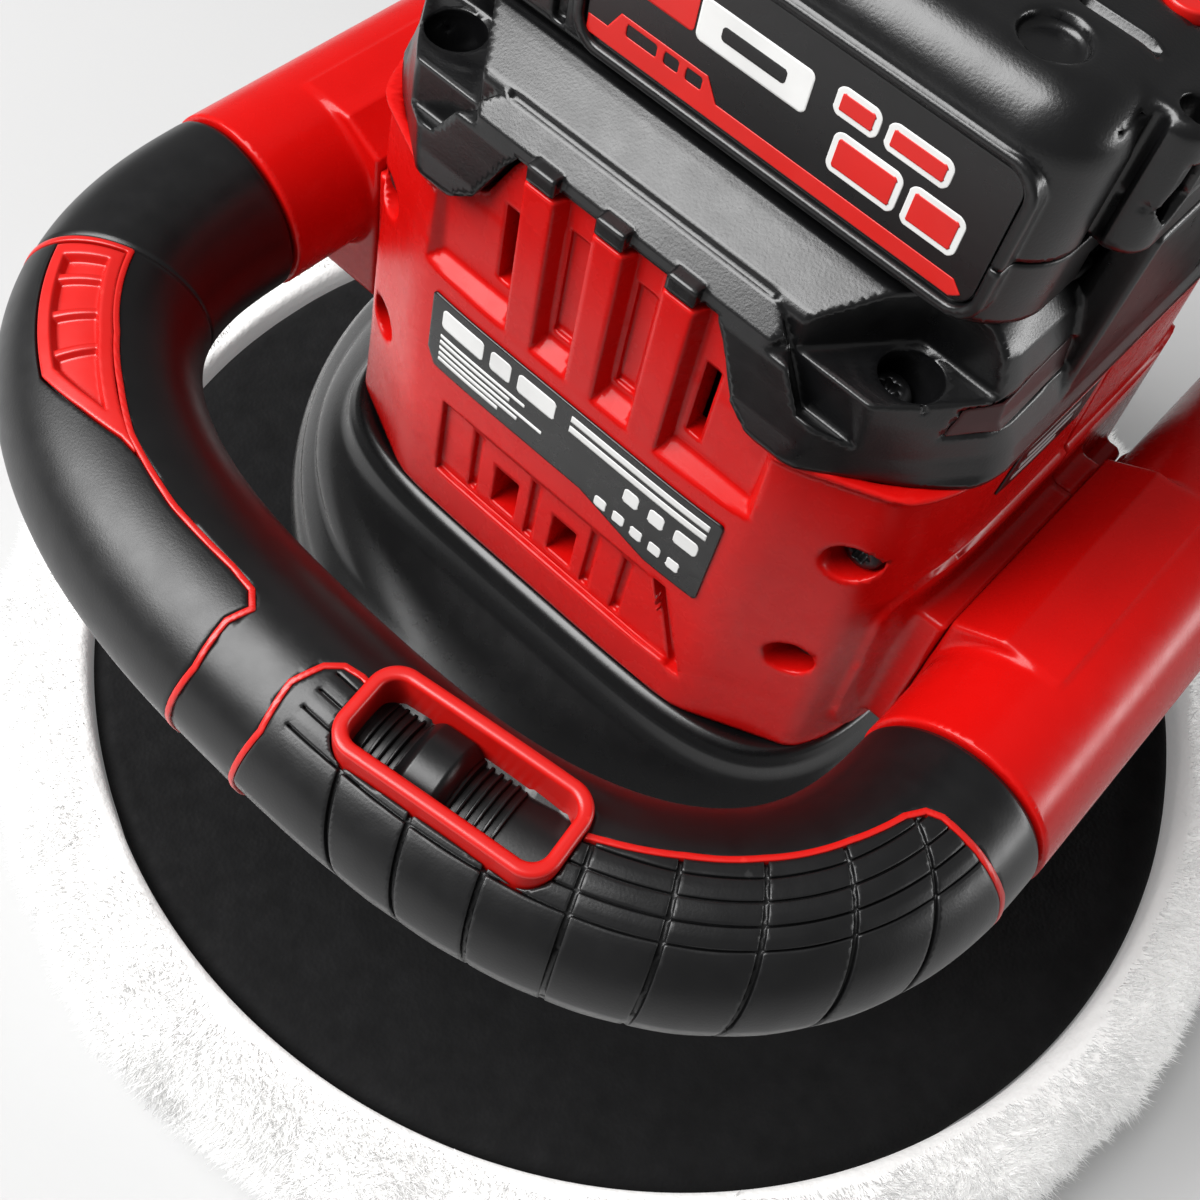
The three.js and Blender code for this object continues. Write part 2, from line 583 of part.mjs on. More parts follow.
// Every grip surface is swept over the same stations, then sliced to its own stretch.
const fullSweep = (shape) => solid(swept(shape, GAP, GRIP_LENGTH - GAP));
const sliceShape = new THREE.Shape([[-20, -20], [20, -20], [20, 20], [-20, 20]]
  .map(([x, y]) => new THREE.Vector2(x, y)));
const slice = (from, to) => solid(swept(sliceShape, from, to));

// A slab in the switch's own frame: along the handle, across it, and up.
function switchSlab(length, width, radius, z0, z1) {
  const ring = (z) => roundedRing(-length / 2, length / 2, -width / 2, width / 2, radius, z);
  return loft([ring(z0), ring(z1)]);
}

function atSwitch(geometry) {
  return geometry.rotateZ(SWITCH_TURN).translate(SWITCH_CENTRE[0], SWITCH_CENTRE[1], 0);
}

const BEZEL_BOTTOM = 151.8;
const BEZEL_TOP = 161;
const switchWell = solid(atSwitch(switchSlab(SWITCH_LENGTH + 2 * GAP, SWITCH_WIDTH + 2 * GAP, 4.6, 149, 170)));

function grip(prefix, holdsSwitch) {
  const group = new THREE.Group();
  group.rotation.z = holdsSwitch ? 0 : Math.PI;
  tool.add(group);
  const shelf = fullSweep(sectorShape(GRIP_CORE_RADIUS - 0.5, GRIP_RADIUS, SOFT_FROM - 2, SOFT_TO + 2));
  const soft = fullSweep(sectorShape(GRIP_CORE_RADIUS + GAP, GRIP_RADIUS + 0.3, SOFT_FROM + 1.5, SOFT_TO - 1.5));
  const insertStock = fullSweep(sectorShape(GRIP_CORE_RADIUS + GAP, GRIP_RADIUS + 0.2, ...INSERT_ANGLES));
  const insertNest = fullSweep(sectorShape(GRIP_CORE_RADIUS, GRIP_RADIUS + 2, INSERT_ANGLES[0] - 1.4, SOFT_TO + 1));
  let core = fullSweep(coreShape())
    .add(shelf.subtract(slice(COLLAR, TREAD[1] + 1)).subtract(slice(PALM[0] - 1, PALM[1] + 1)));
  let tread = soft.intersect(slice(...TREAD));
  const palmPad = soft.intersect(slice(...PALM))
    .subtract(insertNest.intersect(slice(INSERT[0] - GAP, INSERT[1] + 3)));
  if (holdsSwitch) {
    core = core.subtract(switchWell);
    tread = tread.subtract(switchWell);
  }
  place(`${prefix}_grip_core`, core, BLACK, group);
  place(`${prefix}_grip_tread`, tread, RUBBER, group);
  place(`${prefix}_grip_palm_pad`, palmPad, RUBBER, group);
  place(`${prefix}_grip_insert`, insertStock.intersect(slice(...INSERT)), RED, group);
}
grip('front', true);
grip('rear', false);

// ---- slide switch in the front grip ----
const bezel = solid(switchSlab(SWITCH_LENGTH, SWITCH_WIDTH, 4.6, BEZEL_BOTTOM, BEZEL_TOP))
  .subtract(solid(switchSlab(SWITCH_LENGTH - 4, SWITCH_WIDTH - 4, 2.6, BEZEL_BOTTOM - 1, BEZEL_TOP + 1)));
place('switch_bezel', geometryOf(bezel).rotateZ(SWITCH_TURN).translate(...SWITCH_CENTRE, 0), RED);
place('switch_block', join(atSwitch(switchSlab(33, 13.6, 4, 149.6, BEZEL_BOTTOM - GAP)),
  atSwitch(box(-12, 12, -4.5, 4.5, 139, 150))), BLACK);

const SLIDER_START = -SWITCH_LENGTH / 2 + 2.5;
const SLIDER_LENGTH = SWITCH_LENGTH - 5 - SWITCH_TRAVEL;
function sliderOutline() {
  const start = SLIDER_START;
  const end = start + SLIDER_LENGTH;
  const base = BEZEL_BOTTOM + GAP;
  const ribTop = base + 3.4;
  const outline = [[start, base], [end, base]];
  const ribs = 5;
  const saddle = [(start + end) / 2 - 4, (start + end) / 2 + 4];
  const pitch = (end - saddle[1]) / ribs;
  for (let rib = 0; rib < ribs; rib += 1) {
    const x = end - rib * pitch;
    outline.push([x, ribTop], [x - pitch * 0.6, ribTop], [x - pitch * 0.6, ribTop - 1.2], [x - pitch, ribTop - 1.2]);
  }
  outline.push([saddle[1], base + 5], [saddle[1] - 2, base + 6.4], [saddle[0] + 2, base + 6.4], [saddle[0], base + 5]);
  for (let rib = 0; rib < ribs; rib += 1) {
    const x = saddle[0] - rib * pitch;
    outline.push([x, ribTop - 1.2], [x - pitch * 0.4, ribTop - 1.2], [x - pitch * 0.4, ribTop], [x - pitch, ribTop]);
  }
  return outline;
}
const SLIDER_HALF = SWITCH_WIDTH / 2 - 2 - GAP;
const sliderEnd = SLIDER_START + SLIDER_LENGTH;
const sliderPlan = loft([150, 160].map((z) =>
  roundedRing(SLIDER_START, sliderEnd, -SLIDER_HALF, SLIDER_HALF, 2.4, z)));
const slider = solid(prism(sliderOutline(), -SLIDER_HALF - 1, SLIDER_HALF + 1).rotateX(Math.PI / 2))
  .intersect(solid(sliderPlan));
place('switch_slider', atSwitch(geometryOf(slider)), BLACK);

// ---- battery ----
const BATTERY_BOTTOM = COVER_TOP + GAP;
const batteryRing = (inset, z) => roundedRing(BATTERY_LEFT + inset, BATTERY_RIGHT - inset,
  -BATTERY_HALF + inset, BATTERY_HALF - inset, 10 - inset / 2, z);
const tee = [box(-70, 60, -20.6, 20.6, 206, 211), box(-70, 60, -24.6, 24.6, 209.6, 213.5),
  box(8, 60, -16.2, 16.2, 206, 218.3)];
let lowerCase = solid(loft([batteryRing(1.5, BATTERY_BOTTOM), batteryRing(0, BATTERY_BOTTOM + 2),
  batteryRing(0, BATTERY_SPLIT)]));
lowerCase = cutAll(lowerCase, tee);
lowerCase = cutAll(lowerCase, [box(-48, 6, -34, 34, 215.4, 220), box(7.5, 12.5, -12.4, 12.4, 215, 220)]);
place('battery_lower_case', lowerCase, BLACK);
const CASE_BASE = BATTERY_SPLIT + GAP;
let upperCase = solid(loft([batteryRing(0, CASE_BASE), batteryRing(0, 231), batteryRing(1.2, 235.4),
  batteryRing(4, 238.8), batteryRing(8, BATTERY_TOP)]));
upperCase = upperCase.add(solid(loft([218.5, 236, 238.4].map((z, i) =>
  roundedRing(40, i < 2 ? 54 : 52, i < 2 ? -30 : -28, i < 2 ? 30 : 28, 5, z)))).subtract(
  solid(box(30, BATTERY_RIGHT, -40, 40, 200, CASE_BASE))));
upperCase = cutAll(upperCase, [box(-49.5, 46, -34, 34, 210, 238.1), box(-62, -49, -14.4, 14.4, 221.6, 232.4)]);
const CHARGE = [41, -13];
upperCase = cutAll(upperCase, [rod(3.9, 236, 245, 20).translate(...CHARGE, 0)]);
const BATTERY_SCREWS = [[50.6, -26], [50.6, 26]];
upperCase = cutAll(upperCase, BATTERY_SCREWS.map(([x, y]) => rod(2.3, 222, 245, 12).translate(x, y, 0)));
place('battery_upper_case', upperCase, BLACK);
place('battery_label', box(-19.5, 43, -43.1, -BATTERY_HALF - GAP, 210, 232), GLOSS_BLACK);
const cellCentre = (i) => 36.5 - i * CELL_PITCH;
const cells = [0, 1, 2, 3, 4].map((i) => alongY(rod(CELL_RADIUS, -32.5, 32.5, 20)).translate(cellCentre(i), 0, 228.8));
place('cell_pack', join(...cells, box(-44, 41, -33.2, -31, 222, 235), box(-44, 41, 31, 33.2, 222, 235),
  box(8, 12, -12, 12, 214, 222), box(8, 19.5, -12, 12, 214, 217.8)), CELL_BLUE);
place('release_button', box(-64, -54.5, -14, 14, 222, 232), RED);
place('charge_button', rod(3.5, 238.6, 240.6, 20).translate(...CHARGE, 0), RED);

export default tool;
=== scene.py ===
import functools
import math

import bpy
import numpy as np
from mathutils import Matrix, Vector


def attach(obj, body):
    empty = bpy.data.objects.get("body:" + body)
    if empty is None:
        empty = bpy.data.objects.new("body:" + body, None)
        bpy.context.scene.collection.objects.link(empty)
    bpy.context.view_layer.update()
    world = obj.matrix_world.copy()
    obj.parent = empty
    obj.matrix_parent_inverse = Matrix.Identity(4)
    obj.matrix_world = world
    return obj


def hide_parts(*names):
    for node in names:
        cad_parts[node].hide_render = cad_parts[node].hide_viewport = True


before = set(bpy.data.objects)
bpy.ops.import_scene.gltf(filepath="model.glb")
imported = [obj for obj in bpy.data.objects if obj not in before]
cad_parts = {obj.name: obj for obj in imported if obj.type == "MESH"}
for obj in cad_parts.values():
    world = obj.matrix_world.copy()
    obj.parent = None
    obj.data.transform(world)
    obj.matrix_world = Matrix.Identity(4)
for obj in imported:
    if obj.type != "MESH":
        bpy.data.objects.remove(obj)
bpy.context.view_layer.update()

MM = 0.001
COARSE = 1.0


# ---- camera ----
CAMERA_ANGLES = (28.8, 57.96, 15.84)             # azimuth, elevation and roll in degrees
CAMERA_PLACE = (0.07822, -0.17346, 0.33923)      # metres, where a fit to the photograph put it
SENSOR, LENS = 36, 45.84                         # mm


def place_camera():
    azimuth, elevation, roll = (math.radians(v) for v in CAMERA_ANGLES)
    back = Vector((math.sin(azimuth) * math.cos(elevation), -math.cos(azimuth) * math.cos(elevation),
                   math.sin(elevation)))
    right = Vector((0, 0, 1)).cross(back).normalized()
    up = back.cross(right)
    turned_right = right * math.cos(roll) + up * math.sin(roll)
    turned_up = up * math.cos(roll) - right * math.sin(roll)
    data = bpy.data.cameras.new("camera")
    data.sensor_width = SENSOR
    data.lens = LENS
    data.clip_start = 0.01
    camera = bpy.data.objects.new("camera", data)
    rotation = Matrix((turned_right, turned_up, back)).transposed().to_4x4()
    camera.matrix_world = Matrix.Translation(CAMERA_PLACE) @ rotation
    bpy.context.scene.collection.objects.link(camera)
    bpy.context.scene.camera = camera


place_camera()


# ---- distance fields: negative inside, in millimetres ----
def both(a, b, r=0.0):
    """Intersection, with its outer edge rounded to radius r."""
    if r <= 0:
        return np.maximum(a, b)
    u, v = np.maximum(a + r, 0), np.maximum(b + r, 0)
    return np.minimum(np.maximum(a, b), -r) + np.sqrt(u * u + v * v)


def either(a, b, r=0.0):
    """Union, with its inner corner filleted to radius r."""
    return -both(-a, -b, r)


def cut(a, b, r=0.0):
    """The field a less the field b, with the new edge rounded to radius r."""
    return both(a, -b, r)


def least(fields):
    """Union of several fields, with sharp inner corners."""
    return functools.reduce(np.minimum, fields)


def slab(v, low, high):
    return np.maximum(low - v, v - high)


def rectangle(u, v, u0, u1, v0, v1, r=0.0):
    a, b = slab(u, u0, u1) + r, slab(v, v0, v1) + r
    outside = np.sqrt(np.maximum(a, 0) ** 2 + np.maximum(b, 0) ** 2)
    return outside + np.minimum(np.maximum(a, b), 0) - r


def block(x, y, z, x0, x1, y0, y1, z0, z1, r=0.0, plan_r=None):
    plan = rectangle(x, y, x0, x1, y0, y1, r if plan_r is None else plan_r)
    return both(plan, slab(z, z0, z1), r)


def disc(u, v, cu, cv, r):
    return np.sqrt((u - cu) ** 2 + (v - cv) ** 2) - r


def polygon(u, v, points):
    """Signed distance to a closed outline."""
    nearest = 1e9
    inside = np.zeros(np.broadcast(u, v).shape, bool)
    for (ax, ay), (bx, by) in zip(points, points[1:] + points[:1]):
        ex, ey = bx - ax, by - ay
        wx, wy = u - ax, v - ay
        t = np.clip((wx * ex + wy * ey) / (ex * ex + ey * ey), 0, 1)
        nearest = np.minimum(nearest, (wx - ex * t) ** 2 + (wy - ey * t) ** 2)
        if ey:
            inside ^= ((ay > v) != (by > v)) & (u < ex * wy / ey + ax)
    distance = np.sqrt(nearest)
    return np.where(inside, -distance, distance)


def squared_oval(x, y, half_x, half_y, power):
    """About the distance to |x / half_x| ** power + |y / half_y| ** power = 1."""
    ax, ay = np.abs(x), np.abs(y)
    sx, sy = (ax / half_x) ** power, (ay / half_y) ** power
    total = sx + sy + 1e-12
    size = total ** (1 / power)
    slope = size / total * np.sqrt((sx / np.maximum(ax, 0.01)) ** 2 + (sy / np.maximum(ay, 0.01)) ** 2)
    return (size - 1) / np.maximum(slope, 1e-3)


def halves(z, levels):
    """Half width and half depth at height z, from rows of (z, half width, half depth)."""
    table = np.array(levels, float)
    return [np.interp(z, table[:, 0], table[:, column]).astype(np.float32) for column in (1, 2)]


# ---- meshes ----
def spacing(*stretches):
    """Grid positions along one axis: each stretch is (start, end, step), and they join up."""
    parts = []
    for start, end, step in stretches:
        count = max(2, int(round((end - start) / (step * COARSE))))
        parts.append(np.linspace(start, end, count, endpoint=False))
    parts.append([stretches[-1][1]])
    return np.concatenate(parts).astype(np.float32)


CORNERS = np.array([(i, j, k) for i in (0, 1) for j in (0, 1) for k in (0, 1)])
PROBE = 0.02          # how far the field is sampled from a crossing to find its slope
STAY = 0.04           # how strongly a point keeps to the middle of its cell's crossings
AROUND_EDGE = ((-1, -1), (0, -1), (0, 0), (-1, 0))


def slope_planes(field, p):
    """Unit normals of the surface near points p, and how far along them the surface lies."""
    value = field(p[:, 0], p[:, 1], p[:, 2])
    slope = np.empty_like(p)
    for axis in range(3):
        q = p.copy()
        q[:, axis] += PROBE
        slope[:, axis] = (field(q[:, 0], q[:, 1], q[:, 2]) - value) / PROBE
    size = np.maximum(np.linalg.norm(slope, axis=1), 1e-6)
    normal = slope / size[:, None]
    return normal, np.einsum("ij,ij->i", normal, p) - value / size


def surface_net(field, axes):
    """Points and quads of the field's zero surface. Each crossed cell has one point, which sits where the
    planes through the cell's crossings meet, so that edges stay crisp."""
    ax, ay, az = axes
    grid = field(ax[:, None, None], ay[None, :, None], az[None, None, :])
    grid = np.ascontiguousarray(np.broadcast_to(grid, (len(ax), len(ay), len(az))), dtype=np.float32)
    inside = grid < 0
    count = np.zeros(tuple(n - 1 for n in grid.shape), np.int8)
    for i, j, k in CORNERS:
        count += inside[i:i + count.shape[0], j:j + count.shape[1], k:k + count.shape[2]]
    cells = np.argwhere((count > 0) & (count < 8))
    index = np.full(count.shape, -1, np.int32)
    index[tuple(cells.T)] = np.arange(len(cells))
    sums = np.zeros((13, len(cells)))
    for axis in range(3):
        b, c = (axis + 1) % 3, (axis + 2) % 3
        low = [slice(None)] * 3
        high = [slice(None)] * 3
        low[axis], high[axis] = slice(0, -1), slice(1, None)
        at = np.argwhere(inside[tuple(low)] != inside[tuple(high)])
        step = np.eye(3, dtype=int)[axis]
        v0, v1 = grid[tuple(at.T)].astype(float), grid[tuple((at + step).T)].astype(float)
        p = np.stack([axes[i][at[:, i]] for i in range(3)], 1).astype(float)
        p[:, axis] += v0 / (v0 - v1) * (axes[axis][at[:, axis] + 1] - p[:, axis])
        n, offset = slope_planes(field, p)
        terms = [n[:, 0] * n[:, 0], n[:, 0] * n[:, 1], n[:, 0] * n[:, 2], n[:, 1] * n[:, 1], n[:, 1] * n[:, 2],
                 n[:, 2] * n[:, 2], *(n * offset[:, None]).T, *p.T, np.ones(len(p))]
        for db, dc in AROUND_EDGE:
            cell = at.copy()
            cell[:, b] += db
            cell[:, c] += dc
            real = np.all((cell >= 0) & (cell < count.shape), axis=1)
            owner = index[tuple(cell[real].T)]
            for row, term in enumerate(terms):
                sums[row] += np.bincount(owner, term[real], len(cells))
    middle = (sums[9:12] / sums[12]).T
    matrix = sums[[0, 1, 2, 1, 3, 4, 2, 4, 5]].T.reshape(-1, 3, 3)
    pull = sums[6:9].T - np.einsum("nij,nj->ni", matrix, middle)
    points = middle + np.linalg.solve(matrix + STAY * np.eye(3), pull[:, :, None])[:, :, 0]
    for i, axis in enumerate(axes):
        points[:, i] = np.clip(points[:, i], axis[cells[:, i]], axis[cells[:, i] + 1])
    quads = []
    for axis in range(3):
        b, c = (axis + 1) % 3, (axis + 2) % 3
        low = [slice(None)] * 3
        high = [slice(None)] * 3
        low[axis], high[axis] = slice(0, -1), slice(1, None)
        for other in (b, c):
            low[other] = high[other] = slice(1, -1)
        leaves = inside[tuple(low)] & ~inside[tuple(high)]
        enters = ~inside[tuple(low)] & inside[tuple(high)]
        for mask, order in ((leaves, 1), (enters, -1)):
            at = np.argwhere(mask)
            at[:, b] += 1
            at[:, c] += 1
            ring = []
            for db, dc in AROUND_EDGE[::order]:
                cell = at.copy()
                cell[:, b] += db
                cell[:, c] += dc
                ring.append(index[tuple(cell.T)])
            quads.append(np.stack(ring, 1))
    return points, np.concatenate(quads)


def facing_out(points, faces):
    """The faces, turned round if they enclose a negative volume."""
    a, b, c = (points[faces[:, i]] for i in (0, 1, 2))
    volume = np.einsum("ij,ij->i", a, np.cross(b, c)).sum()
    if faces.shape[1] == 4:
        d = points[faces[:, 3]]
        volume += np.einsum("ij,ij->i", a, np.cross(c, d)).sum()
    return faces if volume > 0 else faces[:, ::-1]


def add_piece(name, points, faces, finish, body, replaces=(), slot=None):
    """A mesh object from millimetre points and arrays of quads or triangles, riding on a body."""
    groups = [np.asarray(f) for f in (faces if isinstance(faces, list) else [faces]) if len(f)]
    mesh = bpy.data.meshes.new(name)
    mesh.vertices.add(len(points))
    mesh.vertices.foreach_set("co", (np.asarray(points, float) * MM).astype(np.float32).ravel())
    corners = np.concatenate([g.ravel() for g in groups]).astype(np.int32)
    sizes = np.concatenate([np.full(len(g), g.shape[1]) for g in groups])
    mesh.loops.add(len(corners))
    mesh.loops.foreach_set("vertex_index", corners)
    mesh.polygons.add(len(sizes))
    mesh.polygons.foreach_set("loop_start", np.concatenate([[0], np.cumsum(sizes)[:-1]]).astype(np.int32))
    mesh.polygons.foreach_set("use_smooth", np.full(len(sizes), True))
    mesh.update(calc_edges=True)
    mesh.validate()
    mesh.materials.append(finish)
    piece = bpy.data.objects.new(name, mesh)
    bpy.context.scene.collection.objects.link(piece)
    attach(piece, body)
    if replaces:
        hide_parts(*replaces)
    return piece


def net_piece(name, field, axes, finish, body, mapping=None, **kept):
    """A piece meshed from a field on a grid, and then moved by a mapping of its points."""
    points, quads = surface_net(field, axes)
    if mapping:
        points = mapping(points)
    return add_piece(name, points, facing_out(points, quads), finish, body, **kept)


def fillet(profile, radius, steps=5):
    """Rounds the inner corners of an open outline."""
    p = np.array(profile, float)
    out = [p[0]]
    for before, corner, after in zip(p[:-2], p[1:-1], p[2:]):
        u, v = before - corner, after - corner
        reach = min(radius, np.linalg.norm(u) / 2.1, np.linalg.norm(v) / 2.1)
        start, end = corner + u / np.linalg.norm(u) * reach, corner + v / np.linalg.norm(v) * reach
        for t in np.linspace(0, 1, steps):
            out.append((1 - t) ** 2 * start + 2 * t * (1 - t) * corner + t * t * end)
    out.append(p[-1])
    return np.array(out)


def subdivided(profile, step):
    """The profile with its segments split into lengths of at most step."""
    out = [profile[0]]
    for a, b in zip(profile[:-1], profile[1:]):
        count = max(1, int(np.ceil(np.linalg.norm(b - a) / step)))
        out.extend(a + (b - a) * (i + 1) / count for i in range(count))
    return np.array(out)


def skin(rings, closed_along=False):
    """Points and quads of a stack of rings with equal counts."""
    rings = np.asarray(rings, float)
    levels, count = rings.shape[:2]
    level = np.arange(levels if closed_along else levels - 1)[:, None]
    i = np.arange(count)[None, :]
    above, beside = (level + 1) % levels, (i + 1) % count
    quads = np.stack([level * count + i, level * count + beside,
                      above * count + beside, above * count + i], -1)
    return rings.reshape(-1, 3), quads.reshape(-1, 4)


def full_turn(count):
    return np.linspace(0, 2 * np.pi, count, endpoint=False)


def swept(profile, count, centre):
    """Rings of an (r, z) profile round a centre."""
    angle = full_turn(max(12, int(count / COARSE)))
    return np.stack([centre[0] + profile[:, :1] * np.cos(angle), centre[1] + profile[:, :1] * np.sin(angle),
                     profile[:, 1:] + 0 * angle], -1)


def turned(profile, count, centre=(0, 0)):
    """A solid of revolution from the axis back to the axis: its end points have radius 0."""
    profile = np.asarray(profile, float)
    rings = swept(profile[1:-1], count, centre)
    points, quads = skin(rings)
    n, last = rings.shape[1], len(points)
    points = np.concatenate([points, [[*centre, profile[0, 1]], [*centre, profile[-1, 1]]]])
    i = np.arange(n)
    j = (i + 1) % n
    low = np.stack([np.full(n, last), j, i], 1)
    high = np.stack([np.full(n, last + 1), last - n + i, last - n + j], 1)
    quads_out = facing_out(points, quads)
    if quads_out is not quads:
        low, high = low[:, ::-1], high[:, ::-1]
    return points, [quads_out, np.concatenate([low, high])]


def ring_solid(profile, count, centre=(0, 0)):
    """A solid of revolution that has a hole: its profile is a closed loop."""
    points, quads = skin(swept(np.asarray(profile, float), count, centre), closed_along=True)
    return points, facing_out(points, quads)


# ---- lattice noise, the same on every run ----
def noise(p, size, seed):
    q = p / size
    base = np.floor(q).astype(np.int64)
    f = q - base
    f = f * f * (3 - 2 * f)
    value = 0
    for i, j, k in CORNERS:
        h = ((base[:, 0] + i) * 73856093) ^ ((base[:, 1] + j) * 19349663) ^ ((base[:, 2] + k) * 83492791)
        h = (h ^ (seed * 2654435761)) & 0x7FFFFFFF
        h = ((h ^ (h >> 13)) * 1274126177) & 0x7FFFFFFF
        h = (h ^ (h >> 16)) & 0xFFFF
        weight = 1
        for axis, far in enumerate((i, j, k)):
            weight = weight * (f[:, axis] if far else 1 - f[:, axis])
        value = value + weight * (h / 32767.5 - 1)
    return value


# ---- materials ----
PATTERN_SPAN = (0.3, 0.7)      # the values that a noise pattern mostly takes
EDGE_SPAN = (0.53, 0.62)       # pointiness from flat to a sharp outer edge


def look(name, colour, roughness, grain=None, grain_height=0.05, mottle=0.06, mottle_size=9.0, wear=0.0,
         wear_colour=None, rough_spread=0.08, cells=False, **sockets):
    """A procedural finish: fine grain, broad colour variation and lighter worn edges. Sizes are in mm.
    Other arguments are values of the shader's own sockets."""
    material = bpy.data.materials.new(name)
    material.use_nodes = True
    nodes, links = material.node_tree.nodes, material.node_tree.links
    shader = nodes["Principled BSDF"]
    for socket, value in sockets.items():
        shader.inputs[socket.replace("_", " ")].default_value = value
    place = nodes.new("ShaderNodeTexCoord").outputs["Object"]

    def pattern(size, detail=3.0, kind="ShaderNodeTexNoise"):
        node = nodes.new(kind)
        node.inputs["Scale"].default_value = 1 / (size * MM)
        if kind == "ShaderNodeTexNoise":
            node.inputs["Detail"].default_value = detail
        links.new(place, node.inputs["Vector"])
        return node.outputs["Fac"] if kind == "ShaderNodeTexNoise" else node.outputs["Distance"]

    def span(value, low, high):
        node = nodes.new("ShaderNodeMapRange")
        node.inputs["From Min"].default_value, node.inputs["From Max"].default_value = PATTERN_SPAN
        node.inputs["To Min"].default_value, node.inputs["To Max"].default_value = low, high
        links.new(value, node.inputs["Value"])
        return node.outputs["Result"]

    def mixed(factor, first, second):
        node = nodes.new("ShaderNodeMix")
        node.data_type = "RGBA"
        links.new(factor, node.inputs["Factor"])
        for socket, value in (("A", first), ("B", second)):
            slot = next(s for s in node.inputs if s.name == socket and s.type == "RGBA")
            if isinstance(value, tuple):
                slot.default_value = (*value, 1)
            else:
                links.new(value, slot)
        return next(s for s in node.outputs if s.type == "RGBA")

    darker = tuple(c * (1 - 2 * mottle) for c in colour)
    lighter = tuple(min(1.0, c * (1 + mottle)) for c in colour)
    tint = mixed(span(pattern(mottle_size), 0.0, 1.0), darker, lighter)
    if wear:
        edges = nodes.new("ShaderNodeNewGeometry").outputs["Pointiness"]
        worn = nodes.new("ShaderNodeMapRange")
        worn.inputs["From Min"].default_value, worn.inputs["From Max"].default_value = EDGE_SPAN
        worn.inputs["To Max"].default_value = wear
        links.new(edges, worn.inputs["Value"])
        tint = mixed(worn.outputs["Result"], tint, wear_colour)
    links.new(tint, shader.inputs["Base Color"])
    links.new(span(pattern(mottle_size * 0.4), roughness - rough_spread, min(1, roughness + rough_spread)),
              shader.inputs["Roughness"])
    if grain:
        bump = nodes.new("ShaderNodeBump")
        bump.inputs["Strength"].default_value = 1.0
        bump.inputs["Distance"].default_value = grain_height * MM
        height = pattern(grain, kind="ShaderNodeTexVoronoi") if cells else pattern(grain, 2.0)
        links.new(height, bump.inputs["Height"])
        links.new(bump.outputs["Normal"], shader.inputs["Normal"])
    return material


RED = look("red_plastic", (0.43, 0.0026, 0.0020), 0.27, grain=0.35, grain_height=0.006, mottle=0.02, wear=0.2,
           wear_colour=(0.62, 0.03, 0.025), rough_spread=0.03, Specular_IOR_Level=0.2)
BRIGHT_RED = look("bright_red_plastic", (0.46, 0.005, 0.003), 0.36, grain=0.3, grain_height=0.006,
                  mottle=0.02, wear=0.2, wear_colour=(0.7, 0.06, 0.04), rough_spread=0.03)
DARK_RED = look("dark_red_inlay", (0.030, 0.0025, 0.003), 0.42, grain=0.3, grain_height=0.01, mottle=0.08,
                rough_spread=0.03)
BLACK = look("textured_black_plastic", (0.003, 0.003, 0.0033), 0.30, grain=0.4, grain_height=0.022,
             mottle=0.1, wear=0.08, wear_colour=(0.03, 0.03, 0.03), rough_spread=0.03, Specular_IOR_Level=0.5)
GRIP_BLACK = look("grip_black_plastic", (0.004, 0.004, 0.0043), 0.34, grain=0.45, grain_height=0.010,
                  mottle=0.1, wear=0.08, wear_colour=(0.03, 0.03, 0.03), rough_spread=0.03,
                  Specular_IOR_Level=0.4)
GLOSS = look("gloss_black_plastic", (0.003, 0.003, 0.0033), 0.27, grain=0.6, grain_height=0.006, mottle=0.1,
             rough_spread=0.015)
LABEL = look("label_film", (0.004, 0.004, 0.0043), 0.28, grain=2.0, grain_height=0.01, mottle=0.1,
             rough_spread=0.02)
RUBBER = look("soft_rubber", (0.0045, 0.0045, 0.0048), 0.37, grain=0.4, grain_height=0.018, mottle=0.1,
              wear=0.2, wear_colour=(0.06, 0.06, 0.06), rough_spread=0.03, Specular_IOR_Level=0.4)
WHITE_PRINT = look("white_print", (0.62, 0.62, 0.61), 0.4, grain=0.5, grain_height=0.005, mottle=0.04)
RED_PRINT = look("red_print", (0.50, 0.008, 0.005), 0.38, grain=0.5, grain_height=0.005, mottle=0.03)
GREY_PRINT = look("grey_print", (0.30, 0.30, 0.30), 0.45, grain=0.5, grain_height=0.005, mottle=0.05)
# painted light: the fleece and the pile below glow a little white, which lifts the shade between the locks and stands
# in for light passing through the wool
WOOL = look("wool_fleece", (0.74, 0.735, 0.72), 0.95, grain=1.6, grain_height=0.3, mottle=0.015,
            mottle_size=14, Sheen_Weight=0.4, Sheen_Roughness=0.6, Emission_Color=(1, 1, 1, 1),
            Emission_Strength=0.2)
# painted light: the pile glows a little white too, which lifts the shade between its locks
PILE = look("wool_pile", (0.74, 0.735, 0.725), 0.9, mottle=0.015, mottle_size=6, Sheen_Weight=0.3,
            Sheen_Roughness=0.6, Emission_Color=(1, 1, 1, 1), Emission_Strength=0.2)
FOAM = look("foam_black", (0.0045, 0.0045, 0.0048), 0.95, grain=0.9, grain_height=0.12, mottle=0.12,
            cells=True, Specular_IOR_Level=0.2)
STEEL = look("bright_steel", (0.55, 0.56, 0.58), 0.3, grain=0.3, grain_height=0.01, mottle=0.1, Metallic=1.0)
ZINC = look("zinc_screw", (0.42, 0.42, 0.43), 0.38, grain=0.3, grain_height=0.01, mottle=0.15, Metallic=1.0)
DARK_STEEL = look("blackened_steel", (0.05, 0.05, 0.052), 0.42, grain=0.3, grain_height=0.02, mottle=0.2,
                  Metallic=0.9)
CAST = look("cast_aluminium", (0.50, 0.51, 0.52), 0.5, grain=0.6, grain_height=0.06, mottle=0.1, Metallic=0.9)
COPPER = look("copper_winding", (0.55, 0.20, 0.07), 0.35, grain=0.6, grain_height=0.2, mottle=0.2, Metallic=0.9)
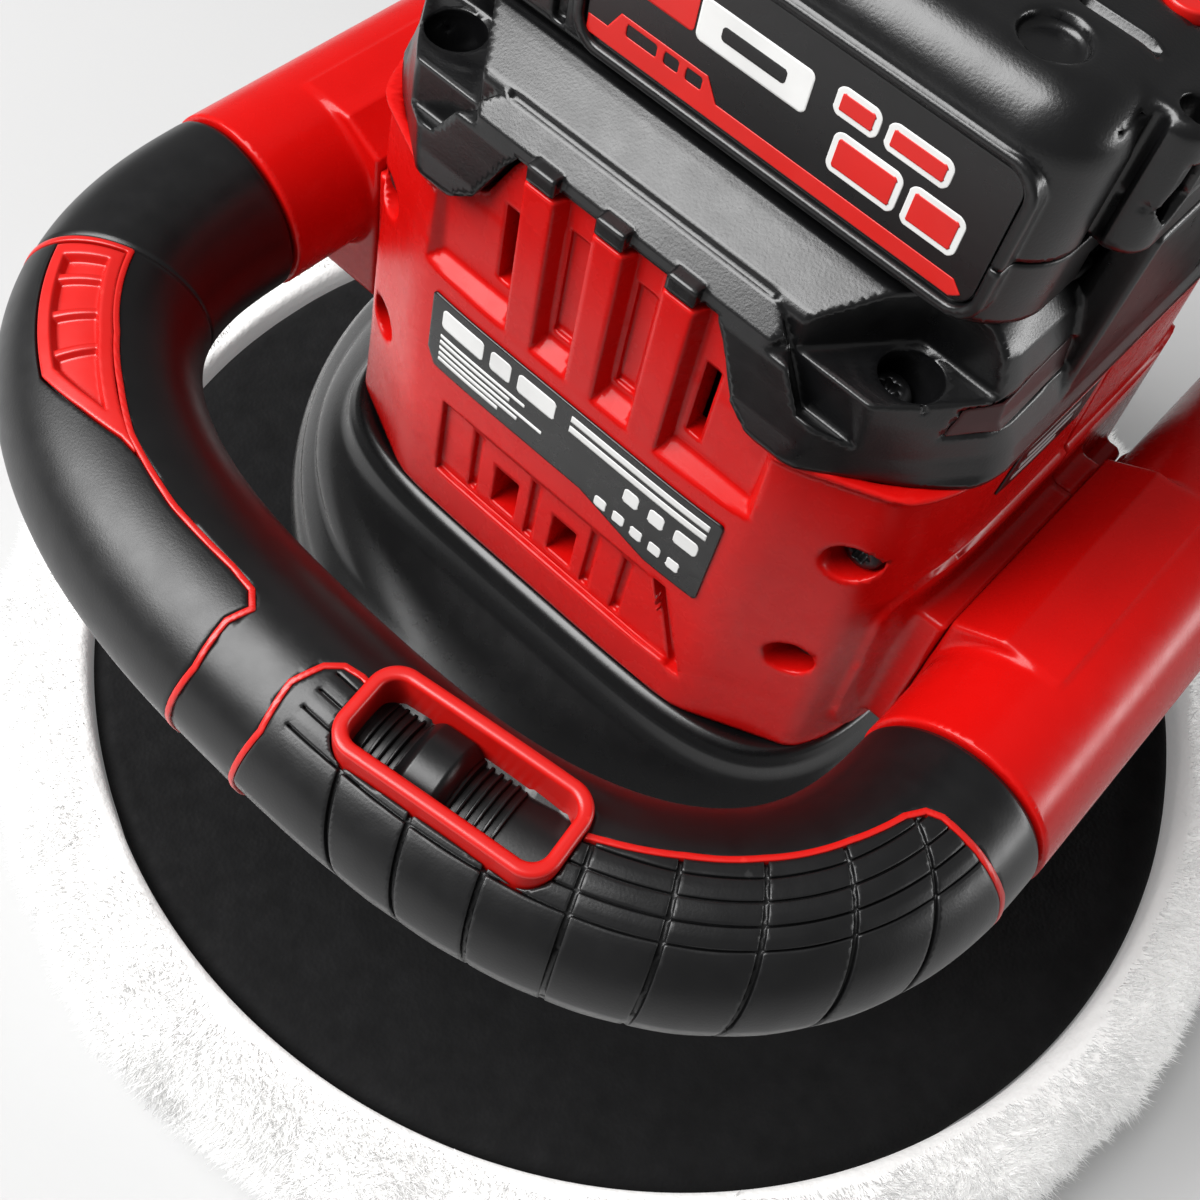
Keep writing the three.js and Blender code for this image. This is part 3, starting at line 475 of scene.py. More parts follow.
FERRITE = look("ferrite", (0.045, 0.046, 0.048), 0.7, grain=0.4, grain_height=0.03, mottle=0.15)
BOARD = look("circuit_board", (0.010, 0.10, 0.035), 0.5, grain=1.2, grain_height=0.05, mottle=0.3,
             mottle_size=3)
CELL = look("cell_wrap", (0.02, 0.13, 0.30), 0.35, grain=2.0, grain_height=0.03, mottle=0.1)

CAD_LOOKS = (
    (STEEL, "pad_bolt pad_nut pad_bearing spindle output_gear motor_shaft pinion motor_can lower_bearing"
            " upper_bearing"),
    (CAST, "eccentric_hub gearbox_case gearbox_cover base_plate"), (DARK_STEEL, "counterweight"),
    (COPPER, "armature"), (GRIP_BLACK, "cooling_fan brush_holder terminal_block"), (FERRITE, "ring_magnet"),
    (RUBBER, "shaft_seal"), (ZINC, "base_screw_1 base_screw_2 base_screw_3"), (BOARD, "controller"),
    (CELL, "cell_pack"),
)
for finish, node_names in CAD_LOOKS:
    for node_name in node_names.split():
        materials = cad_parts[node_name].data.materials
        materials.clear()
        materials.append(finish)


# ---- red housing ----
HOUSING = [[113.5, 57, 57], [126, 56.4, 56.4], [150, 55.4, 55.8], [170, 54.6, 55], [181.2, 54.1, 54.5],
           [182.1, 54.9, 55.3], [183.5, 55.1, 55.5]]
TAB_HALF = [(17, 197), (19, 194), (23, 186.4), (29.5, 182)]
TAB = TAB_HALF + [(29.5, 176), (-29.5, 176)] + [(-x, z) for x, z in reversed(TAB_HALF)]
RIBS = (-12.2, 0.0, 12.2)
SLOTS = (-17.9, 18.7)
FACE = 52.5            # the recessed face between the ribs
LEDGE = 221.9          # z - y on the slope up to that face
CASE_SCREWS = ((44.8, 139), (46, 166))     # (|x|, z)
COVER_SCREW = (38, 42)                     # (|x|, |y|)
ARM_TOP = 141.0
BLOCK_Y = (-36.5, 9)   # the joint block between the housing and each handle frame
HOUSING_POWER, COVER_POWER = 5, 9          # how square the plans are
BORE = 2.3             # radius of the screw holes


def housing_field(front):
    def field(x, y, z):
        side = -1 if front else 1
        y = y * -side                       # both halves are worked out as if they were the front
        half_x, half_y = halves(z, HOUSING)
        oval = squared_oval(x, y, half_x, half_y, HOUSING_POWER)
        wide = np.abs(x)
        facet = 0.42 * wide + 0.907 * np.abs(y) - (0.42 * 31.5 + 0.907 * half_y)
        body = both(both(oval, facet, 0.8), slab(z, 114, 183), 0.4)
        hollow = both(oval + 3, -48.6 - y, 0.5)
        boss = both(rectangle(wide, z, 48, 60.5, 121, ARM_TOP, 1.6), np.abs(y) - 26, 1.6)
        reach = slab(y, *(BLOCK_Y if front else (-BLOCK_Y[1], -BLOCK_Y[0])))
        shoulder = both(polygon(wide, z, [(46, 121), (46, 151), (60.5, 152), (60.5, 121)]), reach, 0.9)
        boss = either(boss, both(shoulder, -hollow), 1.0)
        pad = both(both(rectangle(y, z, -43, 43, 116, 159, 9), oval - 0.9), 30 - wide)
        outer = either(either(body, pad, 0.8), boss, 1.6)
        shell = cut(outer, cut(hollow, boss), 0.3)
        bosses = least(disc(wide, z, sx, sz, 5.6) for sx, sz in CASE_SCREWS)
        cover_boss = np.minimum(disc(wide, y, COVER_SCREW[0], -COVER_SCREW[1], 5),
                                rectangle(wide, y, COVER_SCREW[0] - 1.5, COVER_SCREW[0] + 1.5, -54, -42))
        bosses = np.minimum(bosses, both(cover_boss, slab(z, 150, 183)))
        shell = either(shell, both(bosses, both(oval, facet) + 0.6), 0.6)
        # the raised middle of the front, the ledge under it and its ribs
        tab = polygon(x, z, TAB) if front else rectangle(x, z, -29, 29, 165, 182.5)
        shell = either(shell, both(tab, slab(y, -FACE, -48.7), 0.3), 0.3)
        recess = both(both((wide - 32.7 + (y + 55)) * 0.707, (LEDGE - z + y) * 0.707, 0.3), y + FACE, 0.25)
        shell = cut(shell, recess, 0.25)
        rib_top = 196.2 if front else 180.5
        for rib_x in RIBS:
            across = np.abs(x - rib_x) - 2.55 - (y + 55.2) * 0.42
            rib = both(both(across, slab(z, 165, rib_top), 0.5), slab(y, -55.15, -51.5), 0.3)
            shell = either(shell, rib, 0.2)
        for pane_x in (RIBS[0] + 6.1, RIBS[2] - 6.1):
            pane = rectangle(x, z, pane_x - 1.75, pane_x + 1.75, 171, 191 if front else 177.5, 0.4)
            shell = cut(shell, both(pane, y + 51.6, 0.2), 0.15)
        for slot_x in SLOTS:
            through = rectangle(x, z, slot_x - 1.3, slot_x + 1.3, 172.5, 187 if front else 178, 0.3)
            shell = cut(shell, both(through, y + (46 if front else 50.8)), 0.25)
        # the lower vent
        vent = polygon(x, z, [(-24.5, 141), (20.5, 141), (29.5, 123), (-24.5, 123)])
        shell = cut(shell, both(vent, -oval - 1.3, 0.2), 0.3)
        grooves = polygon(x, z, [(21.5, 141.5), (24, 141.5), (31.5, 122.5), (28.5, 122.5)])
        for groove_x in (-17, -4, 9, 16):
            grooves = np.minimum(grooves, rectangle(x, z, groove_x - 0.9, groove_x + 0.9, 124, 138.5, 0.3))
        shell = cut(shell, both(grooves, -oval - 2.5, 0.2), 0.2)
        for hole_x in (-10, 3):
            hole = rectangle(x, z, hole_x - 2.6, hole_x + 2.6, 125, 134.5, 0.4)
            shell = cut(shell, both(hole, y + (46 if front else 52.2)), 0.25)
        # screws and the handle's tongue
        if front:
            for sx, sz in CASE_SCREWS:
                shell = cut(shell, both(disc(wide, z, sx, sz, 3.75), y + 43.2, 0.2), 0.5)
        drilled = least(disc(wide, z, sx, sz, BORE) for sx, sz in CASE_SCREWS)
        shell = cut(shell, both(drilled, slab(y, -50, 60) if front else y + 12))
        shell = cut(shell, both(disc(wide, y, COVER_SCREW[0], -COVER_SCREW[1], BORE), 170 - z))
        slot = np.minimum(block(wide, y, z, 50.7, 64, -18.3, 18.3, 123.7, 134.3),
                          block(wide, y, z, 50.7, 55.8, -22.3, 22.3, 123.7, 134.3))
        shell = cut(shell, slot)
        return both(shell, y + 0.15, 0.3)
    return field


FRONT_GRID = (spacing((-62, 62, 0.66)), spacing((-58, -47, 0.44), (-47, 1, 1.1)),
              spacing((112.5, 198.5, 0.66)))
REAR_GRID = (spacing((-62, 62, 0.75)), spacing((-1, 47, 0.95), (47, 58, 0.5)), spacing((112.5, 184.5, 0.7)))
for tag, grid in (("front", FRONT_GRID), ("rear", REAR_GRID)):
    net_piece(f"housing_{tag}_shell", housing_field(tag == "front"), grid, RED, "tool",
              replaces=[f"housing_{tag}"], slot="red_plastic")


# ---- flat and curved inlays ----
def inlay(name, region, u_range, v_range, depth, mapping, finish, body, step=0.3, edge=0.15, **kept):
    """A thin piece with the outline region(u, v), between two depths above a surface."""
    def field(u, v, w):
        return both(region(u, v), slab(w, *depth), edge)
    rise = spacing((depth[0] - 0.2, depth[1] + 0.2, min(0.12, (depth[1] - depth[0]) / 3)))
    around = [spacing((low - 0.8, high + 0.8, step)) for low, high in (u_range, v_range)]
    return net_piece(name, field, (*around, rise), finish, body, mapping, **kept)


def oval_reach(along, half_along, half_out, power):
    """How far out the skin of a squared oval is, at a distance along its other axis."""
    return half_out * (1 - np.minimum(np.abs(along) / half_along, 0.99) ** power) ** (1 / power)


def on_front(p):
    """(x, z, height) onto the housing's front skin."""
    skin_y = oval_reach(p[:, 0], *halves(p[:, 1], HOUSING), HOUSING_POWER)
    return np.stack([p[:, 0], -(skin_y + p[:, 2]), p[:, 1]], 1)


def bars(u, v, *rows, r=0.2):
    return least(rectangle(u, v, *row, r) for row in rows)


PLATE = [(-29, 163.4), (29.3, 163.4), (29.3, 144.2), (19.5, 144.2), (5, 148.4), (-27.6, 148.4), (-29, 151)]


def plate_outline(u, v):
    return polygon(u, v, [(x * 0.975, 154 + (z - 154) * 0.92) for x, z in PLATE]) - 0.7


inlay("rating_plate_film", plate_outline, (-30, 30), (143.5, 164.5), (0.02, 0.42), on_front, LABEL, "tool",
      replaces=["rating_plate"], slot="gloss_black")


def plate_print(u, v):
    heading = bars(u, v, *[(left, right, 157.6, 161.6) for left, right in
                           ((-26.4, -17.4), (-16.0, -11.6), (-10.2, -2.4))], r=0.9)
    small = bars(u, v, *[(-26.4, end, z, z + 0.7) for end, z in
                         ((-8, 155.3), (-11, 154.0), (-4, 152.7), (-9, 151.4), (-13, 150.2))])
    wide = bars(u, v, (0.5, 27.5, 160.4, 161.7), (0.5, 27.5, 158.2, 159.5))
    large = bars(u, v, *[(left, right, 153.3, 156.4) for left, right in
                         ((12.5, 15.6), (17.5, 20.6), (22.5, 27.0))], r=0.9)
    dots = bars(u, v, *[(8.0 + 3.7 * i, 10.4 + 3.7 * i, 147.6 - 0.12 * i, 150.0 - 0.12 * i)
                        for i in range(5)], r=0.6)
    return least((heading, small, wide, large, dots))


inlay("rating_plate_print", plate_print, (-28, 28.5), (146, 163), (0.40, 0.50), on_front, WHITE_PRINT, "tool",
      step=0.2, edge=0.02)


def on_side(side):
    """(y, z, height) onto the housing's left or right skin."""
    def mapping(p):
        half_x, half_y = halves(p[:, 1], HOUSING)
        skin_x = oval_reach(p[:, 0], half_y, half_x, HOUSING_POWER)
        return np.stack([side * (skin_x + p[:, 2]), p[:, 0], p[:, 1]], 1)
    return mapping


def badge_outline(u, v):
    return polygon(u, v, [(-27, 171.5), (-24.5, 179), (-3.5, 179), (-5, 171.5)])


def badge_print(u, v):
    return bars(u, v, (-22.5, -8.5, 176.6, 177.6), (-23.5, -9.5, 174.8, 175.8), (-24.5, -13, 173.0, 174.0))


SIDES = ((1, "right"), (-1, "left"))
for side, tag in SIDES:
    inlay(f"side_badge_{tag}", badge_outline, (-27, -3), (171, 179), (0.0, 0.35), on_side(side), LABEL,
          "tool", slot="gloss_black")
    inlay(f"side_badge_print_{tag}", badge_print, (-25, -8), (172.5, 178), (0.33, 0.43), on_side(side),
          GREY_PRINT, "tool", step=0.22, edge=0.02)


# ---- top cover ----
COVER = [[183, 54.5, 54.9], [184.4, 55.2, 55.6], [188, 54.1, 54.8], [194, 51.7, 54.2], [196.6, 51.3, 54.0],
         [199, 50.8, 53.4], [203.2, 49.4, 49.9], [207, 46.5, 42.6], [208, 45.8, 40.7]]
SIDE_CHAMFER = [(183.4, 66.0), (184.6, 65.2), (188, 64.2), (194, 63.3), (200, 62.0), (208, 60.0)]
FRONT_CHAMFER = 64.6
STRIPE = [(-42.8, 191.8), (-40.8, 196.4), (-30, 198.2), (-11, 199.2), (-7, 196.5), (-9, 193.6), (-30, 192.6)]
BUMPER_END = [(23.8, 211), (24, 202), (31.3, 189.6), (60, 189.6), (60, 211)]
CORNER_CUT = 37.0     # |y| beyond which the corners are cut down
CORNER_WALL = 52.4    # and 0.8 |x| + 0.6 |y| beyond which they are
DECK = 197.4          # top of the low deck at each corner
POCKET_FLOOR = 189.7  # under each cover screw's head
WALL = 2.8


def side_chamfer(z):
    return np.interp(z, *np.array(SIDE_CHAMFER).T).astype(np.float32)


def cover_field(x, y, z):
    half_x, half_y = halves(z, COVER)
    wide, deep = np.abs(x), np.abs(y)
    oval = squared_oval(x, y, half_x, half_y, COVER_POWER)
    front_facet = 0.6 * wide + 0.8 * deep - FRONT_CHAMFER
    side_facet = 0.8 * wide + 0.6 * deep - side_chamfer(z)
    body = both(both(oval, front_facet, 0.8), side_facet, 1.6)
    carve = both(polygon(wide, z, BUMPER_END) + (-50.6 - y) * 0.6, y + 50.6)
    carve = both(carve, (y + 50.6 + 190.0 - z) * 0.707)
    corner = both(both(CORNER_WALL - 0.8 * wide - 0.6 * deep, DECK - z, 0.8), CORNER_CUT - deep, 0.8)
    outer = cut(cut(both(body, slab(z, 183.3, 207), 0.3), carve, 0.5), corner, 0.3)
    hollow = both(np.maximum(body, -corner) + WALL, z - 203.8, 0.5)
    shell = cut(outer, both(hollow, -47.4 - y), 0.2)
    stripe = polygon(y, z, STRIPE)
    shell = cut(shell, both(both(stripe, -body - 0.55, 0.1), 40 - wide), 0.15)
    shell = cut(shell, both(both(wide - 22.6, slab(z, 202.2, 203.0)), -body - 0.5), 0.1)
    posts = both(disc(wide, deep, *COVER_SCREW, 6.4), both(slab(z, 183.3, DECK - 0.2), body + 0.6))
    shell = either(shell, posts, 0.5)
    tab_room = polygon(x, z, [(px * 1.01 + np.sign(px) * 0.3, pz + 0.35) for px, pz in TAB])
    shell = cut(shell, both(tab_room, y + 49.6, 0.2), 0.2)
    for rib_x in RIBS:
        shell = either(shell, block(x, y, z, rib_x - 2.4, rib_x + 2.4, -55.3, -51, 196.7, 199.6, 0.35), 0.1)
    rail = np.minimum(block(x, y, z, -50, 18, -20, 20, 205, 213, 0.3),
                      block(x, y, z, -50, 18, -24, 24, 210, 213, 0.4))
    shell = either(shell, rail, 0.4)
    shell = either(shell, block(x, y, z, 48.4, 54, -21, 21, 188, 218, 0.9), 1.0)
    lean = np.clip((z - 191) / 5, 0, 1)
    screw_x, screw_y = COVER_SCREW
    pocket = disc(wide, deep, screw_x + 2.2 * lean, screw_y + 0.4 * lean, 4.0 + 0.4 * lean)
    shell = cut(shell, both(pocket, POCKET_FLOOR - z), 0.4)
    shell = cut(shell, both(disc(wide, deep, *COVER_SCREW, BORE), z - 191))
    return cut(shell, block(x, y, z, 20, 46.2, -16, 16, 200, 209), 0.2)


COVER_GRID = (spacing((-57, 57, 0.72)), spacing((-57, -44, 0.55), (-44, 57, 0.85)),
              spacing((182.3, 196, 0.66), (196, 204, 0.42), (204, 208, 0.6), (208, 219, 0.9)))
net_piece("cover_shell", cover_field, COVER_GRID, BLACK, "tool", replaces=["top_cover"], slot="black_plastic")


def on_cover_side(side):
    """(y, z, height) onto the cover's left or right skin, with its facets."""
    def mapping(p):
        half_x, half_y = halves(p[:, 1], COVER)
        skin_x = oval_reach(p[:, 0], half_y, half_x, COVER_POWER)
        deep = np.abs(p[:, 0])
        facets = np.minimum((side_chamfer(p[:, 1]) - 0.6 * deep) / 0.8, (FRONT_CHAMFER - 0.8 * deep) / 0.6)
        return np.stack([side * (np.minimum(skin_x, facets) + p[:, 2]), p[:, 0], p[:, 1]], 1)
    return mapping


for side, tag in SIDES:
    inlay(f"cover_stripe_{tag}", lambda u, v: polygon(u, v, STRIPE) + 0.25, (-46, -7), (191, 199.5),
          (-0.5, -0.08), on_cover_side(side), DARK_RED, "tool", slot="red_plastic")


# ---- screws with a six-lobed recess ----
HEAD_HEIGHT, SHANK_RADIUS = 2.5, 1.9


def screw(name, head_radius, length, placing):
    """A pan head screw that replaces a CAD one: its shank starts at 0 and its head is on top."""
    head_height, shank_radius = HEAD_HEIGHT, SHANK_RADIUS
    angle = full_turn(48)
    lobes = 1.55 + 0.28 * np.cos(6 * angle)
    top = length + head_height
    thread = [(shank_radius - (0.3 if i % 2 else 0.0), 1.5 + 0.6 * i) for i in range(int((length - 3) / 0.6))]
    levels = [(0.5, 0), (shank_radius * 0.8, 0.2), *thread, (shank_radius, length), (head_radius, length),
              (head_radius, length + head_height * 0.5), (head_radius * 0.86, top - 0.25),
              (head_radius * 0.62, top)]
    rings = [np.stack([r * np.cos(angle), r * np.sin(angle), 0 * angle + z], 1) for r, z in levels]
    for share, z in ((1.0, top), (0.97, top - 0.1), (0.93, top - 1.5), (0.2, top - 1.7)):
        r = share * lobes
        rings.append(np.stack([r * np.cos(angle), r * np.sin(angle), 0 * angle + z], 1))
    points, quads = skin(rings)
    n, last = len(angle), len(points)
    points = np.concatenate([points, [[0, 0, 0], [0, 0, top - 1.7]]])
    i = np.arange(n)
    j = (i + 1) % n
    caps = np.concatenate([np.stack([np.full(n, last), j, i], 1),
                           np.stack([np.full(n, last + 1), last - n + i, last - n + j], 1)])
    add_piece(name + "_head", placing(points), [quads, caps], DARK_STEEL, "tool", replaces=[name], slot="steel")


for number, (x, z) in enumerate(((-44.8, 139), (44.8, 139), (-46, 166), (46, 166)), 1):
    screw(f"case_screw_{number}", 3.3, 56,
          lambda p, x=x, z=z: np.stack([p[:, 0] + x, 12.8 - p[:, 2], p[:, 1] + z], 1))
for number, (x, y) in enumerate(((-38, -42), (38, -42), (-38, 42), (38, 42)), 1):
    screw(f"cover_screw_{number}", 3.6, 18, lambda p, x=x, y=y: p + np.array([x, y, 172.0]))


# ---- lower shroud ----
# rows of (z, half width, half depth, power): round at the bottom, and like the housing at the top
SHROUD = [[50, 83, 83, 2], [86, 84, 84, 2], [92, 81.5, 81.5, 2.05], [98, 74, 74.5, 2.4], [108, 60.5, 61.8, 4.2],
          [111, 58.6, 60, 4.8], [113.7, 57.2, 57.6, 5]]
LUG_CIRCLE = 66


def shroud_shell():
    table = np.array(SHROUD)
    outline = subdivided(fillet(np.stack([table[:, 1], table[:, 0]], 1), 4.0, 7), 1.6 * COARSE)
    outline = np.concatenate([[[82.2, 50.0]], outline[1:]])
    angle = full_turn(int(300 / COARSE))

    def ring(z, grow):
        height = np.clip(z, 50, 113.7)
        half_x, half_y, power = (np.interp(height, table[:, 0], table[:, c]) for c in (1, 2, 3))
        blend = np.interp(height, outline[:, 1], outline[:, 0]) - half_x
        c, s = np.abs(np.cos(angle)), np.abs(np.sin(angle))
        wide, deep = half_x + grow + blend, half_y + grow + blend
        size = ((c / wide) ** power + (s / deep) ** power) ** (-1 / power)
        return np.stack([size * np.cos(angle), size * np.sin(angle), 0 * angle + z], 1)
    outer = [ring(z, -0.5 if z < 50.4 else 0) for z in outline[:, 1]]
    lip = [ring(113.7, -0.6), ring(113.7, -2.4)]
    inner = [ring(z, -3) for z in np.linspace(113, 50.6, 24)]
    foot = [ring(50, -2.5), ring(50, -1.2)]
    points, quads = skin(outer + lip + inner + foot, closed_along=True)
    quads = facing_out(points, quads)
    for hour in (1, 5, 9):
        place = [LUG_CIRCLE * f(hour * math.pi / 6) for f in (math.cos, math.sin)]
        lug_points, lug_faces = ring_solid([(2.7, 73.6), (9.2, 73.6), (9.2, 88), (2.7, 88)], 40, place)
        quads = np.concatenate([quads, lug_faces + len(points)])
        points = np.concatenate([points, lug_points])
    return points, quads


add_piece("shroud_shell", *shroud_shell(), GLOSS, "tool", replaces=["lower_shroud"], slot="gloss_black")


# ---- handle frames ----
TUBE_X, TUBE_Z = 77.3, 143.0
TUBE_R, TUBE_BORE, TUBE_HALF = 15.6, 12.6, 53.4
WEDGE = [(60.8, 121), (60.8, 154.2), (68.4, 158.6), (78, 158.6), (78, 121)]


def frame_field(x, y, z):
    tube = both(disc(x, z, TUBE_X, TUBE_Z, TUBE_R), np.abs(y) - TUBE_HALF, 0.5)
    arm = both(rectangle(x, z, 60.8, 76, 121, ARM_TOP, 1.4), np.abs(y) - 26, 1.4)
    wedge = both(polygon(x, z, WEDGE), slab(y, *BLOCK_Y), 0.9)
    solid = either(either(tube, arm, 1.6), wedge, 1.2)
    tongue = least((block(x, y, z, 51, 62.5, -18, 18, 124, 134, 0.4),
                    block(x, y, z, 51, 55.5, -22, 22, 124, 134, 0.4)))
    return cut(np.minimum(solid, tongue), disc(x, z, TUBE_X, TUBE_Z, TUBE_BORE), 0.4)


for side, tag in SIDES:
    net_piece(f"handle_tube_{tag}", frame_field,
              (spacing((50, 94, 0.55)), spacing((-54.6, 54.6, 0.9)), spacing((119.5, 160, 0.55))),
              RED, "tool", lambda p, side=side: p * np.array([side, 1.0, 1.0]),
              replaces=[f"handle_frame_{tag}"], slot="red_plastic")


# ---- grips, worked out as (distance along the centre line, distance round it, radius) ----
GRIP_R = 15.3
GRIP_BORE = 10.5
GRIP_START, GRIP_REACH = 53.7, 55.3      # |y| of the arc's ends, and how far it runs beyond them
GRIP_POWER = 2.6                         # how square the arc is
DEGREE = GRIP_R * math.pi / 180


def grip_line():
    """Distance along the front grip's centre line, with its x, y and direction there."""
    t = np.linspace(0, np.pi, 40001)
    power = 2 / GRIP_POWER
    c = np.cos(t)
    x = TUBE_X * np.sign(c) * np.abs(c) ** power
    y = -(GRIP_START + GRIP_REACH * np.maximum(np.sin(t), 0) ** power)
    s = np.concatenate([[0], np.cumsum(np.hypot(np.diff(x), np.diff(y)))])
    even = np.linspace(0, s[-1], 1401)
    px, py = np.interp(even, s, x), np.interp(even, s, y)
    tx, ty = np.gradient(px), np.gradient(py)
    kernel = np.hanning(25)
    kernel /= kernel.sum()
    tx, ty = (np.convolve(np.pad(v, 12, mode="edge"), kernel, "valid") for v in (tx, ty))
    size = np.hypot(tx, ty)
    return even, px, py, tx / size, ty / size


LINE = grip_line()
GRIP_LENGTH = LINE[0][-1]


def on_grip(turn):
    """(along, round, radius) onto the front grip, or onto the rear one where turn is -1."""
    def mapping(p):
        px, py, tx, ty = (np.interp(p[:, 0], LINE[0], column) for column in LINE[1:])
        a = p[:, 1] / GRIP_R
        out, rise = p[:, 2] * np.cos(a), p[:, 2] * np.sin(a)
        return np.stack([turn * (px - ty * out), turn * (py + tx * out), TUBE_Z + rise], 1)
    return mapping


def around(points):
    """(mm along, degrees) corners to millimetres along and round."""
    return [(s, a * DEGREE) for s, a in points]


TREAD = around([(9.3, -60), (9.1, 27), (10.3, 62), (11.4, 86), (12.6, 93.5), (15.5, 98), (25, 101), (38, 102),
                (49, 100.5), (60, 96), (68, 92), (86, 92), (94, 96.5), (99.6, 99.5), (102.4, 97.5), (104.3, 90),
                (105.8, 73), (104.7, 45), (106.2, 0), (106.2, -60)])
PALM = around([(119.2, -60), (118.9, 0), (117.4, 45), (118.3, 73), (117.2, 86), (119.5, 93), (124, 94.5),
               (137, 92.5), (151, 95), (160, 100.5), (171, 105), (188.8, 104.5), (188.8, -60)])
INSERT = around([(187.9, 61), (187.9, 102.8), (178, 103.6), (170.5, 103.2), (162, 99.2), (155, 95.6), (147, 92.6),
                 (151, 89.5), (158, 77), (165.5, 61.5)])
RIB_AT = (182.0, 175.4, 168.6)
RIDGE_AT = (57, 68.5, 80, 91.5)      # degrees, the long grooves of the tread
SOFT_BOTTOM = 13.4                   # radius under the soft pieces


def seam(s, t, k):
    """Distance from the k-th slanted groove across the tread."""
    share = t / (90 * DEGREE)
    return np.abs(s - ((88.3 - 9.26 * k) * (1 - share) + (96 - 11.57 * k) * share)) * 0.985


def tread_field(s, t, r):
    region = polygon(s, t, TREAD) + 0.5
    crossing = least(seam(s, t, k) for k in range(8))
    lines = np.where(s > 102.5, 9, least(np.abs(t - a * DEGREE) for a in RIDGE_AT))
    pillow = 0.14 * np.clip(crossing / 4.6, 0, 1) ** 0.5
    flat = 1.1 * np.clip((6 * DEGREE - t) / (34 * DEGREE), 0, 1)
    top = 15.42 + pillow + 0.10 * np.clip(lines / 1.4, 0, 1) - flat
    groove = np.minimum(crossing - 0.36, lines - 0.16)
    body = both(region, np.maximum(r - top, SOFT_BOTTOM - r), 0.35)
    rim = np.abs(t + 2.2 * DEGREE) - 0.3
    body = cut(body, both(groove, 14.75 - r), 0.12)
    body = cut(body, both(both(rim, t + 1), 15.0 - r), 0.1)
    return both(body, -60 * DEGREE + 0.6 - t, 0.3)


def palm_field(s, t, r):
    region = polygon(s, t, PALM) + 0.5
    nest = polygon(s, t, INSERT) - 0.35
    body = both(region, np.maximum(r - 15.55, SOFT_BOTTOM - r), 0.45)
    return cut(body, nest, 0.15)


def insert_field(s, t, r):
    region = polygon(s, t, INSERT)
    body = both(region, np.maximum(r - 15.62, 13.45 - r), 0.35)
    tray = both(region + 2.0 + (15.6 - r) * 0.35, 14.15 - r, 0.1)
    ribs = least(both(np.abs(s - rib_s) - 0.45 - (15.1 - r) * 0.5, r - 15.05, 0.15) for rib_s in RIB_AT)
    return cut(body, cut(tray, ribs, 0.1), 0.25)


def outline_field(s, t, r):
    """The thin red line round the two soft pieces."""
    near = least(np.abs(polygon(s, t, region)) - 0.46 for region in (TREAD, PALM))
    near = both(near, slab(t, -56 * DEGREE, 120 * DEGREE))
    return both(near, slab(r, 13.6, 15.62), 0.18)


def grip_core(turn, holds_switch):
    """The hard sleeve: sunk under the soft pieces and the switch, and bored through."""
    stations = np.unique(np.concatenate([np.linspace(0.3, GRIP_LENGTH - 0.3, int(300 / COARSE)),
                                         [0.31, 0.6, 1.1, 189.1, 189.5, 189.9, 190.4]]))
    count = int(144 / COARSE)
    a = np.linspace(-180, 180, count, endpoint=False)
    s2, t2 = np.meshgrid(stations, a * DEGREE, indexing="ij")
    sunk = np.minimum(polygon(s2, t2, TREAD), polygon(s2, t2, PALM))
    sunk = np.maximum(sunk, -56 * DEGREE - t2)
    radius = np.where(sunk < -0.2, 13.35, GRIP_R)
    radius = radius - 0.35 * np.exp(-((s2 - 189.7) / 0.45) ** 2)
    radius = radius - 0.5 * np.exp(-((s2 - 0.3) / 0.5) ** 2)
    radius = radius - 0.5 * np.exp(-((GRIP_LENGTH - 0.3 - s2) / 0.5) ** 2)
    radius = radius - 0.16 * np.exp(-((t2 + 140 * DEGREE) / 0.35) ** 2)
    if holds_switch:
        world = on_grip(1)(np.stack([s2.ravel(), t2.ravel(), radius.ravel()], 1))
        u, v = switch_frame(world[:, 0], world[:, 1])
        well = rectangle(u, v, -17.2, 17.2, -7.4, 7.4, 4).reshape(s2.shape)
        deep = (well < 0) & (np.abs(t2 - 90 * DEGREE) < 14)
        radius = np.where(deep, np.minimum(radius, 11.2), radius)
    outer = np.stack([s2, t2, radius], -1)
    bore_stations = stations[::-1][::4]
    bore_stations = np.concatenate([[stations[-1]], bore_stations[1:-1], [stations[0]]])
    s3, t3 = np.meshgrid(bore_stations, a * DEGREE, indexing="ij")
    inner = np.stack([s3, t3, np.full(s3.shape, GRIP_BORE)], -1)
    points, quads = skin(np.concatenate([outer, inner]), closed_along=True)
    points = on_grip(turn)(points)
    return points, facing_out(points, quads)


SWITCH_CENTRE = (29.0, -106.7)
SWITCH_TURN = math.radians(8.8)


def switch_frame(x, y):
    """World x, y as (along, across) the switch."""
    c, s = math.cos(SWITCH_TURN), math.sin(SWITCH_TURN)
    dx, dy = x - SWITCH_CENTRE[0], y - SWITCH_CENTRE[1]
    return c * dx + s * dy, c * dy - s * dx


def at_switch(p):
    """(along, across, z) of the switch as world x, y, z."""
    c, s = math.cos(SWITCH_TURN), math.sin(SWITCH_TURN)
    return np.stack([SWITCH_CENTRE[0] + c * p[:, 0] - s * p[:, 1],
                     SWITCH_CENTRE[1] + s * p[:, 0] + c * p[:, 1], p[:, 2]], 1)


